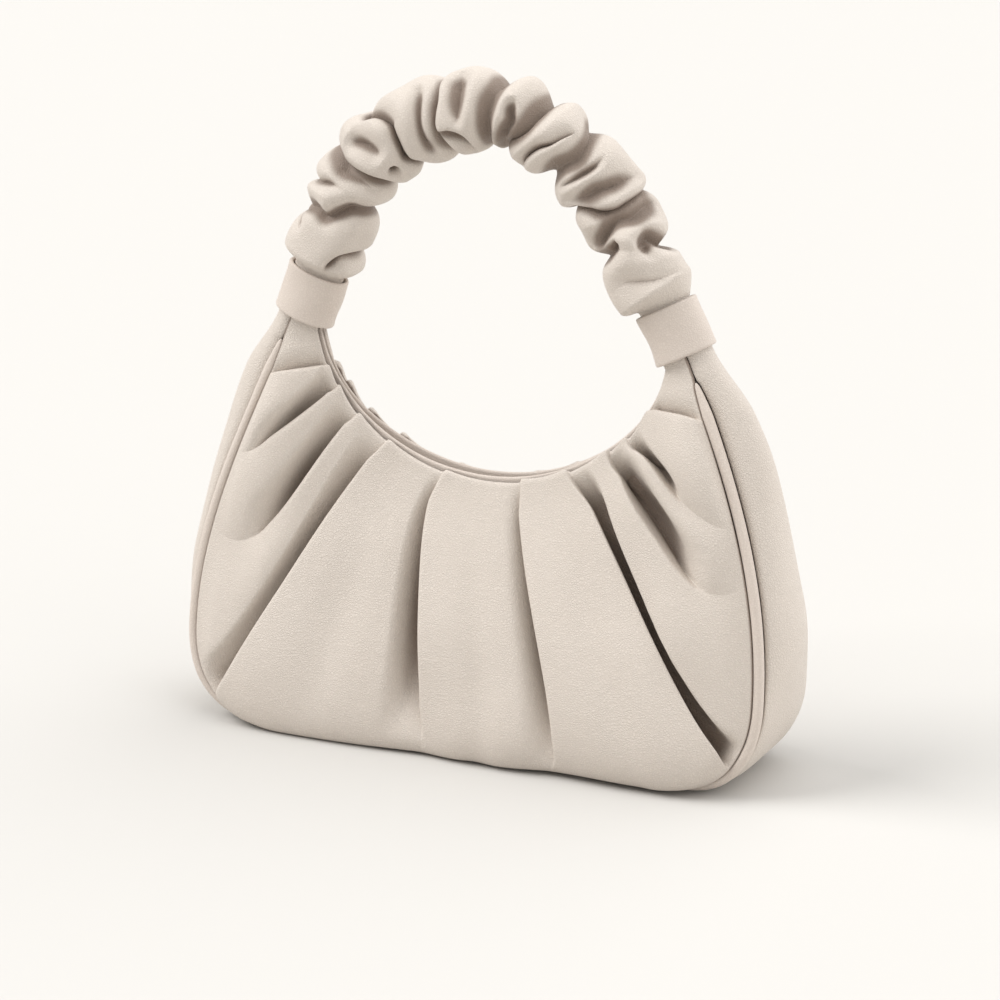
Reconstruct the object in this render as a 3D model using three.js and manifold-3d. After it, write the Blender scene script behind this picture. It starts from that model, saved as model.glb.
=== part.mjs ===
// A ruched hobo shoulder bag in soft grained leather, in millimetres, standing on its base with +Z up.
// The front faces -Y. The origin is on the floor under the middle of the bag.
// Two pleated crescent panels and one long gusset make the hollow body. Their seams carry piping, the
// mouth is edged with a band on each side, and a gathered sleeve makes the handle. The two necks of the
// body and the two ends of the sleeve meet inside a collar at each side.

import * as THREE from "three";
import { mergeVertices } from "three/addons/utils/BufferGeometryUtils.js";
import Module from "manifold-3d";

const { clamp, degToRad, lerp, smoothstep } = THREE.MathUtils;

// Driving dimensions: leather, and the gaps between pieces
const panelWall = 1.6;
const gussetWall = 1.6;
const bandWall = 1.2;
const collarWall = 1.7;
const sleeveWall = 1.6;
const gap = 0.4;
const collarFit = 0.75;

// Driving dimensions: outline of the body, seen from the front
const seamSpan = 256;
const seamBaseHeight = 3;
const cornerWidth = 29;
const cornerHeight = 36;
const sideFullness = 48;
const mouthHeight = 112.5;
const mouthRadius = 93;
const mouthTurnDeg = 38;
const mouthFlareDeg = 11.5;
const mouthEase = 14;

// Driving dimensions: depth of the body
const baseDepth = 54;
const bellySwell = 26;
const bellyTurnDeg = -26;
const sideSwell = 13;
const sideTurnDeg = 42;
const overhangFade = 14;
const gussetBulge = 10;
const gussetFullHeight = 72;
const shoulderBulge = 14;
const shoulderHeight = 140;
const gussetNeckReach = 40;
const mouthDepth = 13;
const neckMouthDepth = 7.6;

// Driving dimensions: piping and mouth bands
const pipingDiameter = 4.4;
const pipingTip = 0.6;
const pipingTaper = 14;
const pipingShort = 11;
const bandRise = 1.6;
const bandDrop = 9;
const neckBandRise = 0.5;
const neckBandDrop = 2.3;

// Driving dimensions: collars, necks and handle
const collarSpan = 171.2;
const collarHeight = 172.5;
const leftLeanDeg = 20.5;
const rightLeanDeg = 26.5;
const collarLength = 21;
const collarWidth = 27.2;
const collarDepth = 20;
const neckInsert = 8;
const neckBelow = 2;
const neckReach = 72;
const sleeveInsert = 9;
const handleCrown = 264;
const archWidth = 140;
const sleeveWidth = 37;
const sleeveDepth = 34;
const sleeveFlare = 7;
const creaseDepth = 5.4;
const creaseWidth = 4.4;

// Driving dimensions: pleats of a panel
const pleatDepth = 9;
const pleatWidth = 22;
const pleatStep = 0.9;
const goreCrown = 3.4;

// The folds of a panel from its left neck to its right one, as the front shows them.
// mouth and seam: where the fold starts and ends, as shares of half the mouth's and half the seam's length.
// bow: sideways bend of its lower half, as a share of its own length. over: 1 if the piece on its right lies
// on top, -1 if the left one does. depth and width: of its valley, as shares of pleatDepth and pleatWidth.
// start, peak and reach: depth left at the mouth, where it is deepest, and where it has faded out.
const FOLDS = [
  { mouth: -0.8, seam: -0.885, bow: -0.02, over: 1, depth: 0.6, width: 0.6, start: 0.5, peak: 0.5, reach: 1.2 },
  { mouth: -0.7, seam: -0.765, bow: 0, over: 1, depth: 0.8, width: 0.7, start: 0.3, peak: 0.35, reach: 0.85 },
  { mouth: -0.575, seam: -0.57, bow: 0.02, over: 1, depth: 0.95, width: 0.9, start: 0.35, peak: 0.36, reach: 0.95 },
  { mouth: -0.42, seam: -0.4, bow: 0, over: 1, depth: 1, width: 0.85, start: 0.35, peak: 0.4, reach: 1.5 },
  { mouth: -0.176, seam: -0.09, bow: 0.035, over: 1, depth: 1, width: 0.8, start: 0.25, peak: 0.45, reach: 1.15 },
  { mouth: 0.148, seam: 0.125, bow: 0.075, over: 1, depth: 0.95, width: 0.6, start: 0.25, peak: 0.55, reach: 1.25 },
  { mouth: 0.352, seam: 0.4, bow: 0, over: -1, depth: 1.15, width: 0.75, start: 0.6, peak: 0.4, reach: 1.5 },
  { mouth: 0.524, seam: 0.61, bow: 0.05, over: -1, depth: 1.15, width: 0.9, start: 0.45, peak: 0.35, reach: 1 },
  { mouth: 0.62, seam: 0.72, bow: 0.04, over: -1, depth: 0.8, width: 0.7, start: 0.35, peak: 0.25, reach: 0.7 },
  { mouth: 0.77, seam: 0.885, bow: 0, over: -1, depth: 0.6, width: 0.6, start: 0.5, peak: 0.5, reach: 1.2 },
];

// Places on the handle's centre line from the left collar to the right one. across: share of half the arch's
// width. up: share of its rise from the foot of the collars to the crown.
const ARCH = [
  { across: -0.965, up: 0.5 },
  { across: -0.77, up: 0.755 },
  { across: -0.27, up: 0.965 },
  { across: 0.05, up: 1 },
  { across: 0.45, up: 0.875 },
  { across: 0.775, up: 0.62 },
  { across: 0.95, up: 0.36 },
];

// The creases of the sleeve from its left end to its right one.
// at: place along the sleeve. lean: how far the crease runs ahead on the inside of the arch, in sleeve widths.
// depth and width: shares of creaseDepth and creaseWidth. side: where it is deepest, in degrees round the
// sleeve from the inside of the arch, with the front at 90.
const CREASES = [
  { at: 0.085, lean: -0.02, depth: 0.8, width: 0.8, side: 20 },
  { at: 0.15, lean: -0.1, depth: 0.8, width: 0.8, side: 180 },
  { at: 0.215, lean: -0.04, depth: 1.2, width: 1, side: 60 },
  { at: 0.315, lean: 0.12, depth: 1.2, width: 0.9, side: 40 },
  { at: 0.38, lean: 0.1, depth: 1.1, width: 0.8, side: 100 },
  { at: 0.455, lean: 0.04, depth: 1.2, width: 0.8, side: 60 },
  { at: 0.54, lean: -0.06, depth: 1, width: 1.1, side: 90 },
  { at: 0.58, lean: -0.05, depth: 0.8, width: 0.7, side: 30 },
  { at: 0.635, lean: -0.08, depth: 1.2, width: 0.9, side: 80 },
  { at: 0.695, lean: -0.08, depth: 0.9, width: 1.2, side: 110 },
  { at: 0.765, lean: -0.04, depth: 1.1, width: 0.9, side: 70 },
  { at: 0.805, lean: -0.03, depth: 0.9, width: 0.7, side: 100 },
  { at: 0.85, lean: -0.03, depth: 1.2, width: 0.9, side: 90 },
  { at: 0.925, lean: 0, depth: 0.4, width: 1, side: 90 },
];

// Finish of the leather
const LEATHER = { color: 0xd9cec2, roughness: 0.62, metalness: 0 };
const BAND_LEATHER = { color: 0xddd3c7, roughness: 0.6, metalness: 0 };

// Shape of the soft forms, as shares. The roundness of a corner's two handles, where the seam enters the
// neck's oval, how the depth falls towards the collars, how high and how full the panel's upper part is, how
// far down a fold bends, and how much of a fold's depth stands over the plain form and how far.
const cornerRoundness = 0.6;
const seamInNeck = 0.25;
const depthFall = 1.08;
const mouthNarrowing = [0.2, 0.75];
const shoulderPlace = 0.32;
const shoulderFullness = 0.62;
const bowSkew = 1.6;
const overShare = 0.35;
const overReach = 0.35;
const dipFadeIn = [0.05, 0.2];
const reliefFadeOut = [0.84, 1];
const bandSlimming = [0.6, 0.85];
const creaseAllRound = 0.72;

// Shape of the gusset's section: the flat share of its base, and the ways in which it leaves the piping
const gussetFlat = 0.62;
const baseLeaveDeg = 75;
const sideLeaveDeg = 43;

// Facet counts
const goreFacetWidth = 14;
const fewestGoreFacets = 3;
const panelRows = [0, 0.06, 0.15, 0.25, 0.36, 0.48, 0.6, 0.72, 0.82, 0.9, 0.96, 1];
const gussetRows = [0, 0.05, 0.19, 0.5, 0.81, 0.95, 1];
const seamFacets = { base: 4, corner: 6, side: 12, neck: 1 };
const bandFacets = 32;
const pipingSides = 6;
const lobeShares = [0, 0.2, 0.5, 0.8];
const sleeveSides = 14;
const boreRings = 24;
const boreSides = 12;
const collarSides = 20;
const lengthSteps = 400;

// Worked-out sizes shared by the pieces
const neckHalfWidth = collarWidth / 2 - collarWall - collarFit;
const neckHalfDepth = collarDepth / 2 - collarWall - collarFit;
const neckEdge = neckInsert + neckBelow;
const cornerStartX = seamSpan / 2 - cornerWidth;
const seamAcross = neckHalfWidth * seamInNeck;
const seamNeckDepth = neckDepthAt(seamAcross);
const mouthAcross = -neckAcrossAt(neckMouthDepth / 2);
const deepestCrease = creaseDepth * Math.max(...CREASES.map((crease) => crease.depth));

// Half depth of the neck's oval at a place across it
function neckDepthAt(across) {
  return neckHalfDepth * Math.sqrt(Math.max(0, 1 - (across / neckHalfWidth) ** 2));
}

// Place across the neck's oval where its half depth has a given value
function neckAcrossAt(halfDepth) {
  return neckHalfWidth * Math.sqrt(Math.max(0, 1 - (halfDepth / neckHalfDepth) ** 2));
}

// A collar's place in the front view: its foot, the way along it and the way across it
function collarFrame(side) {
  const lean = degToRad(side < 0 ? leftLeanDeg : rightLeanDeg);
  return {
    lean,
    foot: new THREE.Vector2((side * collarSpan) / 2, collarHeight),
    along: new THREE.Vector2(-side * Math.sin(lean), Math.cos(lean)),
    across: new THREE.Vector2(side * Math.cos(lean), Math.sin(lean)),
  };
}

// A point of a collar's own frame in the front view, with across measured away from the other collar
function onCollar(side, along, across) {
  const frame = collarFrame(side);
  return frame.foot.addScaledVector(frame.along, along).addScaledVector(frame.across, across);
}

// One half of the seam's line in the front view, from the middle of the base up into the collar
function seamStretches(side) {
  const half = (side * seamSpan) / 2;
  const cornerStart = new THREE.Vector2(side * cornerStartX, seamBaseHeight);
  const cornerEnd = new THREE.Vector2(half, seamBaseHeight + cornerHeight);
  const neckStart = onCollar(side, -neckBelow, seamAcross);
  return {
    base: new THREE.LineCurve(new THREE.Vector2(0, seamBaseHeight), cornerStart),
    corner: new THREE.CubicBezierCurve(
      cornerStart,
      new THREE.Vector2(cornerStart.x + side * cornerWidth * cornerRoundness, cornerStart.y),
      new THREE.Vector2(cornerEnd.x, cornerEnd.y - cornerHeight * cornerRoundness),
      cornerEnd,
    ),
    side: new THREE.CubicBezierCurve(
      cornerEnd,
      new THREE.Vector2(cornerEnd.x, cornerEnd.y + sideFullness),
      neckStart.clone().addScaledVector(collarFrame(side).along, -sideFullness),
      neckStart,
    ),
    neck: new THREE.LineCurve(neckStart, onCollar(side, neckInsert, seamAcross)),
  };
}

// One half of the mouth's line in the front view, from its lowest point up into the collar
function mouthStretches(side) {
  const turn = degToRad(mouthTurnDeg);
  const flare = degToRad(mouthFlareDeg);
  const down = -Math.PI / 2;
  const bowl = new THREE.EllipseCurve(
    0, mouthHeight + mouthRadius, mouthRadius, mouthRadius, down, down + side * turn, side < 0, 0,
  );
  const bowlEnd = bowl.getPoint(1);
  const neckStart = onCollar(side, -neckBelow, mouthAcross);
  return {
    bowl,
    shoulder: new THREE.CubicBezierCurve(
      bowlEnd,
      new THREE.Vector2(side * Math.cos(turn), Math.sin(turn)).multiplyScalar(mouthEase).add(bowlEnd),
      neckStart.clone().addScaledVector(new THREE.Vector2(side * Math.sin(flare), Math.cos(flare)), -mouthEase),
      neckStart,
    ),
    neck: new THREE.LineCurve(neckStart, onCollar(side, neckInsert, mouthAcross)),
  };
}

// A line in the front view with a half to each side. at(-1) is its left end, at(0) the middle, at(1) the right.
class TwoSidedLine {
  constructor(stretches) {
    this.halves = [-1, 1].map((side) => {
      const path = new THREE.CurvePath();
      Object.values(stretches(side)).forEach((curve) => path.add(curve));
      path.arcLengthDivisions = lengthSteps;
      return path;
    });
  }
  half(share) {
    return this.halves[share < 0 ? 0 : 1];
  }
  at(share) {
    return this.half(share).getPointAt(clamp(Math.abs(share), 0, 1));
  }
  // Unit vector across the line, out of the body for the seam and into it for the mouth
  outward(share) {
    const tangent = this.half(share).getTangentAt(clamp(Math.abs(share), 0, 1));
    const side = share < 0 ? -1 : 1;
    return new THREE.Vector2(side * tangent.y, -side * tangent.x);
  }
  // Length that is left to the nearer end
  toEnd(share) {
    return (1 - Math.abs(share)) * this.half(share).getLength();
  }
  // Share of a side's half at a length before its end
  before(side, length) {
    return side * (1 - length / this.half(side).getLength());
  }
}

const seam = new TwoSidedLine(seamStretches);
const mouth = new TwoSidedLine(mouthStretches);

// 0 on the base, 1 on the sides
function sideShare(share) {
  return smoothstep(seam.at(share).y, seamBaseHeight, seamBaseHeight + cornerHeight);
}

// 1 where the panel hangs over the seam along the base, 0 past the corner
function overhangShare(share) {
  const along = Math.abs(share) * seam.half(share).getLength();
  return 1 - smoothstep(along, cornerStartX - overhangFade, cornerStartX + cornerHeight);
}

// 0 up to the upper sides, 1 just below the collars
function neckShare(share) {
  return 1 - smoothstep(seam.toEnd(share), neckEdge, neckReach);
}

// Half the distance between the front and back seams
function seamHalfDepth(share) {
  const foot = cornerHeight / 2;
  const rise = clamp((seam.at(share).y - foot) / (collarHeight - foot), 0, 1);
  return lerp(baseDepth / 2, seamNeckDepth, rise ** depthFall);
}

// Half the distance between the outer faces of the two panels at the mouth
function mouthHalfDepth(share) {
  return lerp(mouthDepth / 2, neckMouthDepth / 2, smoothstep(Math.abs(share), ...mouthNarrowing));
}

// Radius of the piping, which narrows to a tip below the collar
function pipingRadiusAt(share) {
  const full = clamp((seam.toEnd(share) - neckInsert - pipingShort) / pipingTaper, 0, 1);
  return lerp(pipingTip, pipingDiameter, Math.sqrt(full)) / 2;
}

// Distance from the seam's centre to the edges of the panel and the gusset
function seamClearance(share) {
  return pipingRadiusAt(share) + gap;
}

// A point of the front view at a depth
function toSpace(point, depth) {
  return new THREE.Vector3(point.x, depth, point.y);
}

// The way in which the panel leaves the seam: forward at 0 degrees, towards the middle of the body at 90
function seamTurn(share) {
  const outward = toSpace(seam.outward(share), 0);
  const turn = degToRad(lerp(sideTurnDeg, bellyTurnDeg, overhangShare(share)));
  return new THREE.Vector3(0, -Math.cos(turn), 0).addScaledVector(outward, -Math.sin(turn));
}

// How far the neck's oval stands out from the chord between its mouth and its seam
function neckRoundness(fall) {
  const chord = lerp(neckDepthAt(mouthAcross), seamNeckDepth, fall);
  return neckDepthAt(lerp(mouthAcross, seamAcross, fall)) - chord;
}

// A point of the front panel without its pleats. It falls from the mouth at 0 to the seam at 1 along a cubic
// curve that swells forward, and at the base hangs over the seam. Near the collars it closes round the neck.
function panelBase(place, fall) {
  const start = toSpace(mouth.at(place.mouth), -mouthHalfDepth(place.mouth));
  const turn = seamTurn(place.seam);
  const clearance = seamClearance(place.seam);
  const seamPoint = toSpace(seam.at(place.seam), -seamHalfDepth(place.seam));
  const end = seamPoint.clone().addScaledVector(turn, clearance);
  const swell = lerp(sideSwell, bellySwell, overhangShare(place.seam));
  const shoulder = start.clone().lerp(end, shoulderPlace);
  shoulder.y = lerp(start.y, end.y, shoulderFullness);
  const belly = seamPoint.addScaledVector(turn, clearance + swell);
  const point = new THREE.CubicBezierCurve3(start, shoulder, belly, end).getPoint(fall);
  const oval = start.clone().lerp(end, fall);
  oval.y -= neckRoundness(fall);
  const run = end.clone().sub(start);
  const sideways = new THREE.Vector3(-run.z, 0, run.x);
  const bend = place.bow * Math.sin(Math.PI * fall ** bowSkew);
  return point.lerp(oval, neckShare(place.seam)).addScaledVector(sideways, bend);
}

// The place between two folds at a share of the way
function between(a, b, share) {
  return { mouth: lerp(a.mouth, b.mouth, share), seam: lerp(a.seam, b.seam, share), bow: lerp(a.bow, b.bow, share) };
}

// Depth of a fold at a fall from the mouth
function foldDepth(fold, fall) {
  const rise = lerp(fold.start, 1, smoothstep(fall, 0, fold.peak));
  return rise * (1 - smoothstep(fall, fold.peak, fold.reach)) * fold.depth * pleatDepth;
}

// Height of the leather over the panel's plain form, at a distance from a fold on one of its sides
function foldRelief(fold, distance, isRight, fall) {
  const onTop = isRight === fold.over > 0;
  if (onTop) return overShare * foldDepth(fold, fall) * Math.exp(-distance / (overReach * pleatWidth));
  const dip = 1 - smoothstep(distance, 0, fold.width * pleatWidth);
  return (overShare - 1) * foldDepth(fold, fall) * dip * smoothstep(fall, ...dipFadeIn);
}

// Crown of the leather between two folds that are a width apart
function goreHeight(width, share, fall) {
  const fullness = Math.min(1, width / (2 * pleatWidth));
  return goreCrown * fullness * 4 * share * (1 - share) * Math.sin(Math.PI * fall);
}

// A point of the pleated panel between folds a and b, with the panel's plain normal there, the way across,
// and how much of the relief shows
function panelPoint(a, b, share, fall) {
  const plain = (moved, fallen) => panelBase(between(a, b, share + moved), fall + fallen);
  const step = 0.02;
  const aside = share > 0.5 ? -step : 0;
  const above = fall > 0.5 ? -step : 0;
  const across = plain(aside + step, 0).sub(plain(aside, 0)).normalize();
  const down = plain(0, above + step).sub(plain(0, above));
  const normal = down.cross(across).normalize();
  const width = panelBase(a, fall).distanceTo(panelBase(b, fall));
  const relief = foldRelief(a, share * width, true, fall) + foldRelief(b, (1 - share) * width, false, fall);
  const inNeck = neckShare(between(a, b, share).seam);
  const shown = (1 - smoothstep(fall, ...reliefFadeOut)) * (1 - inNeck ** 2);
  const point = plain(0, 0).addScaledVector(normal, (goreHeight(width, share, fall) + relief) * shown);
  return { point, normal, across, shown };
}

// A place in the list of folds that has no fold: the ends of the panel, and the rims of the necks
function plainLine(side, length) {
  const place = { mouth: mouth.before(side, length), seam: seam.before(side, length), bow: 0, over: side };
  return { ...place, depth: 0, width: 1, start: 0, peak: 0.5, reach: 1 };
}

// The lines of a panel from neck to neck: a few on each piece between two folds, and two at each fold
function panelLines() {
  const folds = [
    plainLine(-1, 0), plainLine(-1, neckEdge), ...FOLDS, plainLine(1, neckEdge), plainLine(1, 0),
  ];
  return folds.slice(1).flatMap((b, i) => {
    const a = folds[i];
    const width = (b.seam - a.seam) * seam.half(a.seam).getLength();
    const facets = a.depth || b.depth ? Math.max(fewestGoreFacets, Math.round(width / goreFacetWidth)) : 1;
    const shares = evenShares(facets, 0, 1);
    const last = i + 2 === folds.length;
    const kept = b.depth || last ? shares : shares.slice(0, -1);
    return kept.map((share) => ({ a, b, share, fold: share === 0 ? a : share === 1 ? b : null }));
  });
}

// The outer and inner point of a panel's line. The two lines of a fold stand pleatStep apart, and the inside
// of the steep face between them moves sideways too, so that it keeps the leather's thickness.
function panelSection({ a, b, share, fold }, fall) {
  const { point, normal, across, shown } = panelPoint(a, b, share, fall);
  const depth = fold ? foldDepth(fold, fall) * shown : 0;
  const spread = depth ? Math.sign(0.5 - share) * (pleatStep / 2) : 0;
  const inward = fold ? fold.over * panelWall * Math.min(1, depth / (2 * panelWall)) : 0;
  const outer = point.addScaledVector(across, spread);
  const inner = outer.clone().addScaledVector(normal, -panelWall).addScaledVector(across, inward);
  return { outer, inner };
}

function makePanel() {
  const sections = panelLines().map((line) => panelRows.map((fall) => panelSection(line, fall)));
  return wallBetween(
    sections.map((line) => line.map((section) => section.outer)),
    sections.map((line) => line.map((section) => section.inner)),
  );
}

// How far the gusset stands out from the line between its two seams in its middle
function gussetRise(share) {
  const height = seam.at(share).y;
  const low = lerp(seamBaseHeight, gussetBulge, smoothstep(height, seamBaseHeight, gussetFullHeight));
  const high = lerp(low, shoulderBulge, smoothstep(height, gussetFullHeight, shoulderHeight));
  const neck = 1 - smoothstep(seam.toEnd(share), neckEdge, gussetNeckReach);
  return lerp(high, neckHalfWidth - seamAcross, neck);
}

// A point of the gusset's outer face, across from the front seam at 0 to the back one at 1
function gussetPoint(share, across) {
  const upright = sideShare(share);
  const leave = degToRad(lerp(baseLeaveDeg, sideLeaveDeg, upright));
  const clearance = seamClearance(share);
  const flat = lerp(gussetFlat, 0, upright);
  const place = 2 * across - 1;
  const pastFlat = Math.max(0, Math.abs(place) - flat) / (1 - flat);
  const profile = Math.sqrt(Math.max(0, 1 - pastFlat ** 2));
  const out = lerp(clearance * Math.cos(leave), gussetRise(share), profile);
  const halfDepth = seamHalfDepth(share) - clearance * Math.sin(leave);
  return toSpace(seam.at(share).addScaledVector(seam.outward(share), out), place * halfDepth);
}

// Shares of the seam at the facets of its stretches, from the left end to the right end
function seamShares() {
  const [left, right] = [-1, 1].map((side) => {
    const total = seam.half(side).getLength();
    let length = 0;
    return Object.entries(seamStretches(side)).flatMap(([name, curve]) => {
      const start = length;
      length += curve.getLength();
      const shares = evenShares(seamFacets[name], start / total, Math.min(1, length / total));
      return shares.slice(1).map((share) => side * share);
    });
  });
  return [...left.reverse(), 0, ...right];
}

function makeGusset() {
  const outside = seamShares().map((share) => gussetRows.map((across) => gussetPoint(share, across)));
  return wallBetween(outside, offsetGrid(outside, -gussetWall));
}

// The piping of one seam, a cord that comes to a tip below each collar
function makePiping() {
  const [first, last] = [-1, 1].map((side) => seam.before(side, neckInsert + pipingShort));
  const inside = seamShares().filter((share) => seam.toEnd(share) > neckInsert + pipingShort + pipingDiameter);
  const rings = [first, ...inside, last].map((share) => {
    const radius = pipingRadiusAt(share);
    const outward = toSpace(seam.outward(share), 0);
    const centre = toSpace(seam.at(share), -seamHalfDepth(share));
    return ring(pipingSides, (cos, sin) =>
      centre.clone().addScaledVector(outward, radius * cos).add(new THREE.Vector3(0, radius * sin, 0)),
    );
  });
  return loft(rings);
}

// The band inside one edge of the mouth, which stands a little above the panel
function makeBand() {
  const sections = evenShares(bandFacets, -1, 1).map((share) => {
    const slimmer = smoothstep(Math.abs(share), ...bandSlimming);
    const heights = [lerp(bandRise, neckBandRise, slimmer), -lerp(bandDrop, neckBandDrop, slimmer)];
    const depth = mouthHalfDepth(share) - panelWall - gap;
    const down = mouth.outward(share);
    return heights.map((height) => {
      const place = mouth.at(share).addScaledVector(down, -height);
      return { outer: toSpace(place, -depth), inner: toSpace(place, -depth + bandWall) };
    });
  });
  return wallBetween(
    sections.map((line) => line.map((section) => section.outer)),
    sections.map((line) => line.map((section) => section.inner)),
  );
}

// An oval as a closed path
function ovalPath(PathClass, halfWidth, halfDepth) {
  const path = new PathClass();
  path.absellipse(0, 0, halfWidth, halfDepth, 0, 2 * Math.PI, false, 0);
  return path;
}

// The collar, a short oval tube about its own +Z
function makeCollar() {
  const wall = ovalPath(THREE.Shape, collarWidth / 2, collarDepth / 2);
  wall.holes.push(ovalPath(THREE.Path, collarWidth / 2 - collarWall, collarDepth / 2 - collarWall));
  return new THREE.ExtrudeGeometry(wall, { depth: collarLength, bevelEnabled: false, curveSegments: collarSides });
}

// The handle's centre line in the front view: out of the left collar, over the arch and into the right one
function handlePath() {
  const lengths = [collarLength - sleeveInsert, collarLength, collarLength + sleeveFlare / 2];
  const inCollar = (side) => lengths.map((length) => toSpace(onCollar(side, length, 0), 0));
  const arch = ARCH.map(
    ({ across, up }) => new THREE.Vector3((across * archWidth) / 2, 0, lerp(collarHeight, handleCrown, up)),
  );
  const path = new THREE.CatmullRomCurve3([...inCollar(-1), ...arch, ...inCollar(1).reverse()], false, "centripetal");
  path.arcLengthDivisions = lengthSteps;
  return path;
}

// Sections across the handle's path. Their half axes follow from the length to the nearer end, and they lean
// along the path like the creases.
function sleeveSections(path, shares, sides, halfAxes, reliefAt, leanAt) {
  const length = path.getLength();
  return shares.map((share) => {
    const [width, depth] = halfAxes(Math.min(share, 1 - share) * length);
    return ring(sides, (cos, sin, angle) => {
      const ahead = share + (leanAt(share) * sleeveWidth * cos) / length;
      const onPath = clamp(ahead, 0, 1);
      const tangent = path.getTangentAt(onPath);
      const inward = new THREE.Vector3(tangent.z, 0, -tangent.x);
      const size = 1 - reliefAt(share, angle) / width;
      return path
        .getPointAt(onPath)
        .addScaledVector(tangent, (ahead - onPath) * length)
        .addScaledVector(inward, width * size * cos)
        .add(new THREE.Vector3(0, -depth * size * sin, 0));
    });
  });
}

// Places of the sleeve's rings: one in each crease and a few on the lobe after it
function sleeveShares() {
  const stops = [0, ...CREASES.map((crease) => crease.at), 1];
  return [...stops.slice(1).flatMap((stop, i) => lobeShares.map((share) => lerp(stops[i], stop, share))), 1];
}

// Lean of the sleeve's rings, which passes from each crease's lean to the next one's
function creaseLean(share) {
  const stops = [{ at: 0, lean: 0 }, ...CREASES, { at: 1, lean: 0 }];
  const next = Math.max(1, stops.findIndex((stop) => stop.at >= share));
  const [a, b] = [stops[next - 1], stops[next]];
  return lerp(a.lean, b.lean, clamp((share - a.at) / (b.at - a.at), 0, 1));
}

// Depth of the sleeve's creases at a place along it and an angle round it
function creaseRelief(share, angle, length) {
  return CREASES.reduce((deepest, crease) => {
    const away = ((share - crease.at) * length) / (crease.width * creaseWidth);
    const turned = lerp(Math.cos(angle - degToRad(crease.side)), 1, creaseAllRound);
    return Math.max(deepest, crease.depth * creaseDepth * turned * Math.exp(-away * away));
  }, 0);
}

// The gathered sleeve, open through its middle
function makeSleeve(wasm) {
  const path = handlePath();
  const length = path.getLength();
  const flared = (toEnd) => smoothstep(toEnd, sleeveInsert + gap, sleeveInsert + gap + sleeveFlare);
  const outerAxes = (toEnd) => [
    lerp(neckHalfWidth, sleeveWidth / 2, flared(toEnd)),
    lerp(neckHalfDepth, sleeveDepth / 2, flared(toEnd)),
  ];
  const boreAxes = (toEnd) => outerAxes(toEnd).map((axis) => axis - sleeveWall - deepestCrease * flared(toEnd));
  const relief = (share, angle) =>
    creaseRelief(share, angle, length) * flared(Math.min(share, 1 - share) * length);
  const none = () => 0;
  const past = 0.01;
  const boreShares = evenShares(boreRings, -past, 1 + past);
  const skin = loft(sleeveSections(path, sleeveShares(), sleeveSides, outerAxes, relief, creaseLean));
  const bore = loft(sleeveSections(path, boreShares, boreSides, boreAxes, none, none));
  return geometryOf(solidOf(wasm, skin).subtract(solidOf(wasm, bore)));
}

function evenShares(count, from, to) {
  return Array.from({ length: count + 1 }, (_, i) => lerp(from, to, i / count));
}

// Points round a section, from a function of the angle and its cosine and sine
function ring(sides, place) {
  return Array.from({ length: sides }, (_, i) => {
    const angle = (2 * Math.PI * i) / sides;
    return place(Math.cos(angle), Math.sin(angle), angle);
  });
}

// Triangles of a grid of cells, two to a cell
function cells(rows, columns, index, flip) {
  const faces = [];
  for (let r = 0; r < rows; r += 1) {
    for (let c = 0; c < columns; c += 1) {
      const [p, q, s, t] = [index(r, c), index(r + 1, c), index(r + 1, c + 1), index(r, c + 1)];
      faces.push(...(flip ? [p, s, q, p, t, s] : [p, q, s, p, s, t]));
    }
  }
  return faces;
}

// A closed wall from two grids of points of one size: the outside, and the inside behind it
function wallBetween(outside, inside) {
  const lines = outside.length;
  const rows = outside[0].length;
  const outer = (line, row) => line * rows + row;
  const inner = (line, row) => (lines + line) * rows + row;
  const edge = [];
  for (let line = 0; line < lines - 1; line += 1) edge.push([line, 0]);
  for (let row = 0; row < rows - 1; row += 1) edge.push([lines - 1, row]);
  for (let line = lines - 1; line > 0; line -= 1) edge.push([line, rows - 1]);
  for (let row = rows - 1; row > 0; row -= 1) edge.push([0, row]);
  const rim = edge.flatMap((from, i) => {
    const to = edge[(i + 1) % edge.length];
    return [outer(...from), inner(...to), outer(...to), outer(...from), inner(...from), inner(...to)];
  });
  const faces = [
    ...cells(lines - 1, rows - 1, outer, false),
    ...cells(lines - 1, rows - 1, inner, true),
    ...rim,
  ];
  return facingOut([...outside.flat(), ...inside.flat()], faces);
}

// A closed body through sections of equal count, capped at both ends
function loft(sections) {
  const sides = sections[0].length;
  const points = sections.flat();
  const index = (row, column) => row * sides + (column % sides);
  const faces = cells(sections.length - 1, sides, index, false);
  [0, sections.length - 1].forEach((row) => {
    const centre = sections[row].reduce((sum, point) => sum.add(point), new THREE.Vector3()).divideScalar(sides);
    const middle = points.push(centre) - 1;
    for (let column = 0; column < sides; column += 1) {
      const [p, q] = [index(row, column), index(row, column + 1)];
      faces.push(...(row ? [middle, q, p] : [middle, p, q]));
    }
  });
  return facingOut(points, faces);
}

// A geometry whose faces point out, whichever way round they were listed
function facingOut(points, faces) {
  let volume = 0;
  for (let i = 0; i < faces.length; i += 3) {
    const [a, b, c] = faces.slice(i, i + 3).map((corner) => points[corner]);
    volume += a.dot(b.clone().cross(c));
  }
  const geometry = new THREE.BufferGeometry().setFromPoints(points);
  geometry.setIndex(volume < 0 ? faces.reverse() : faces);
  geometry.computeVertexNormals();
  return geometry;
}

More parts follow.
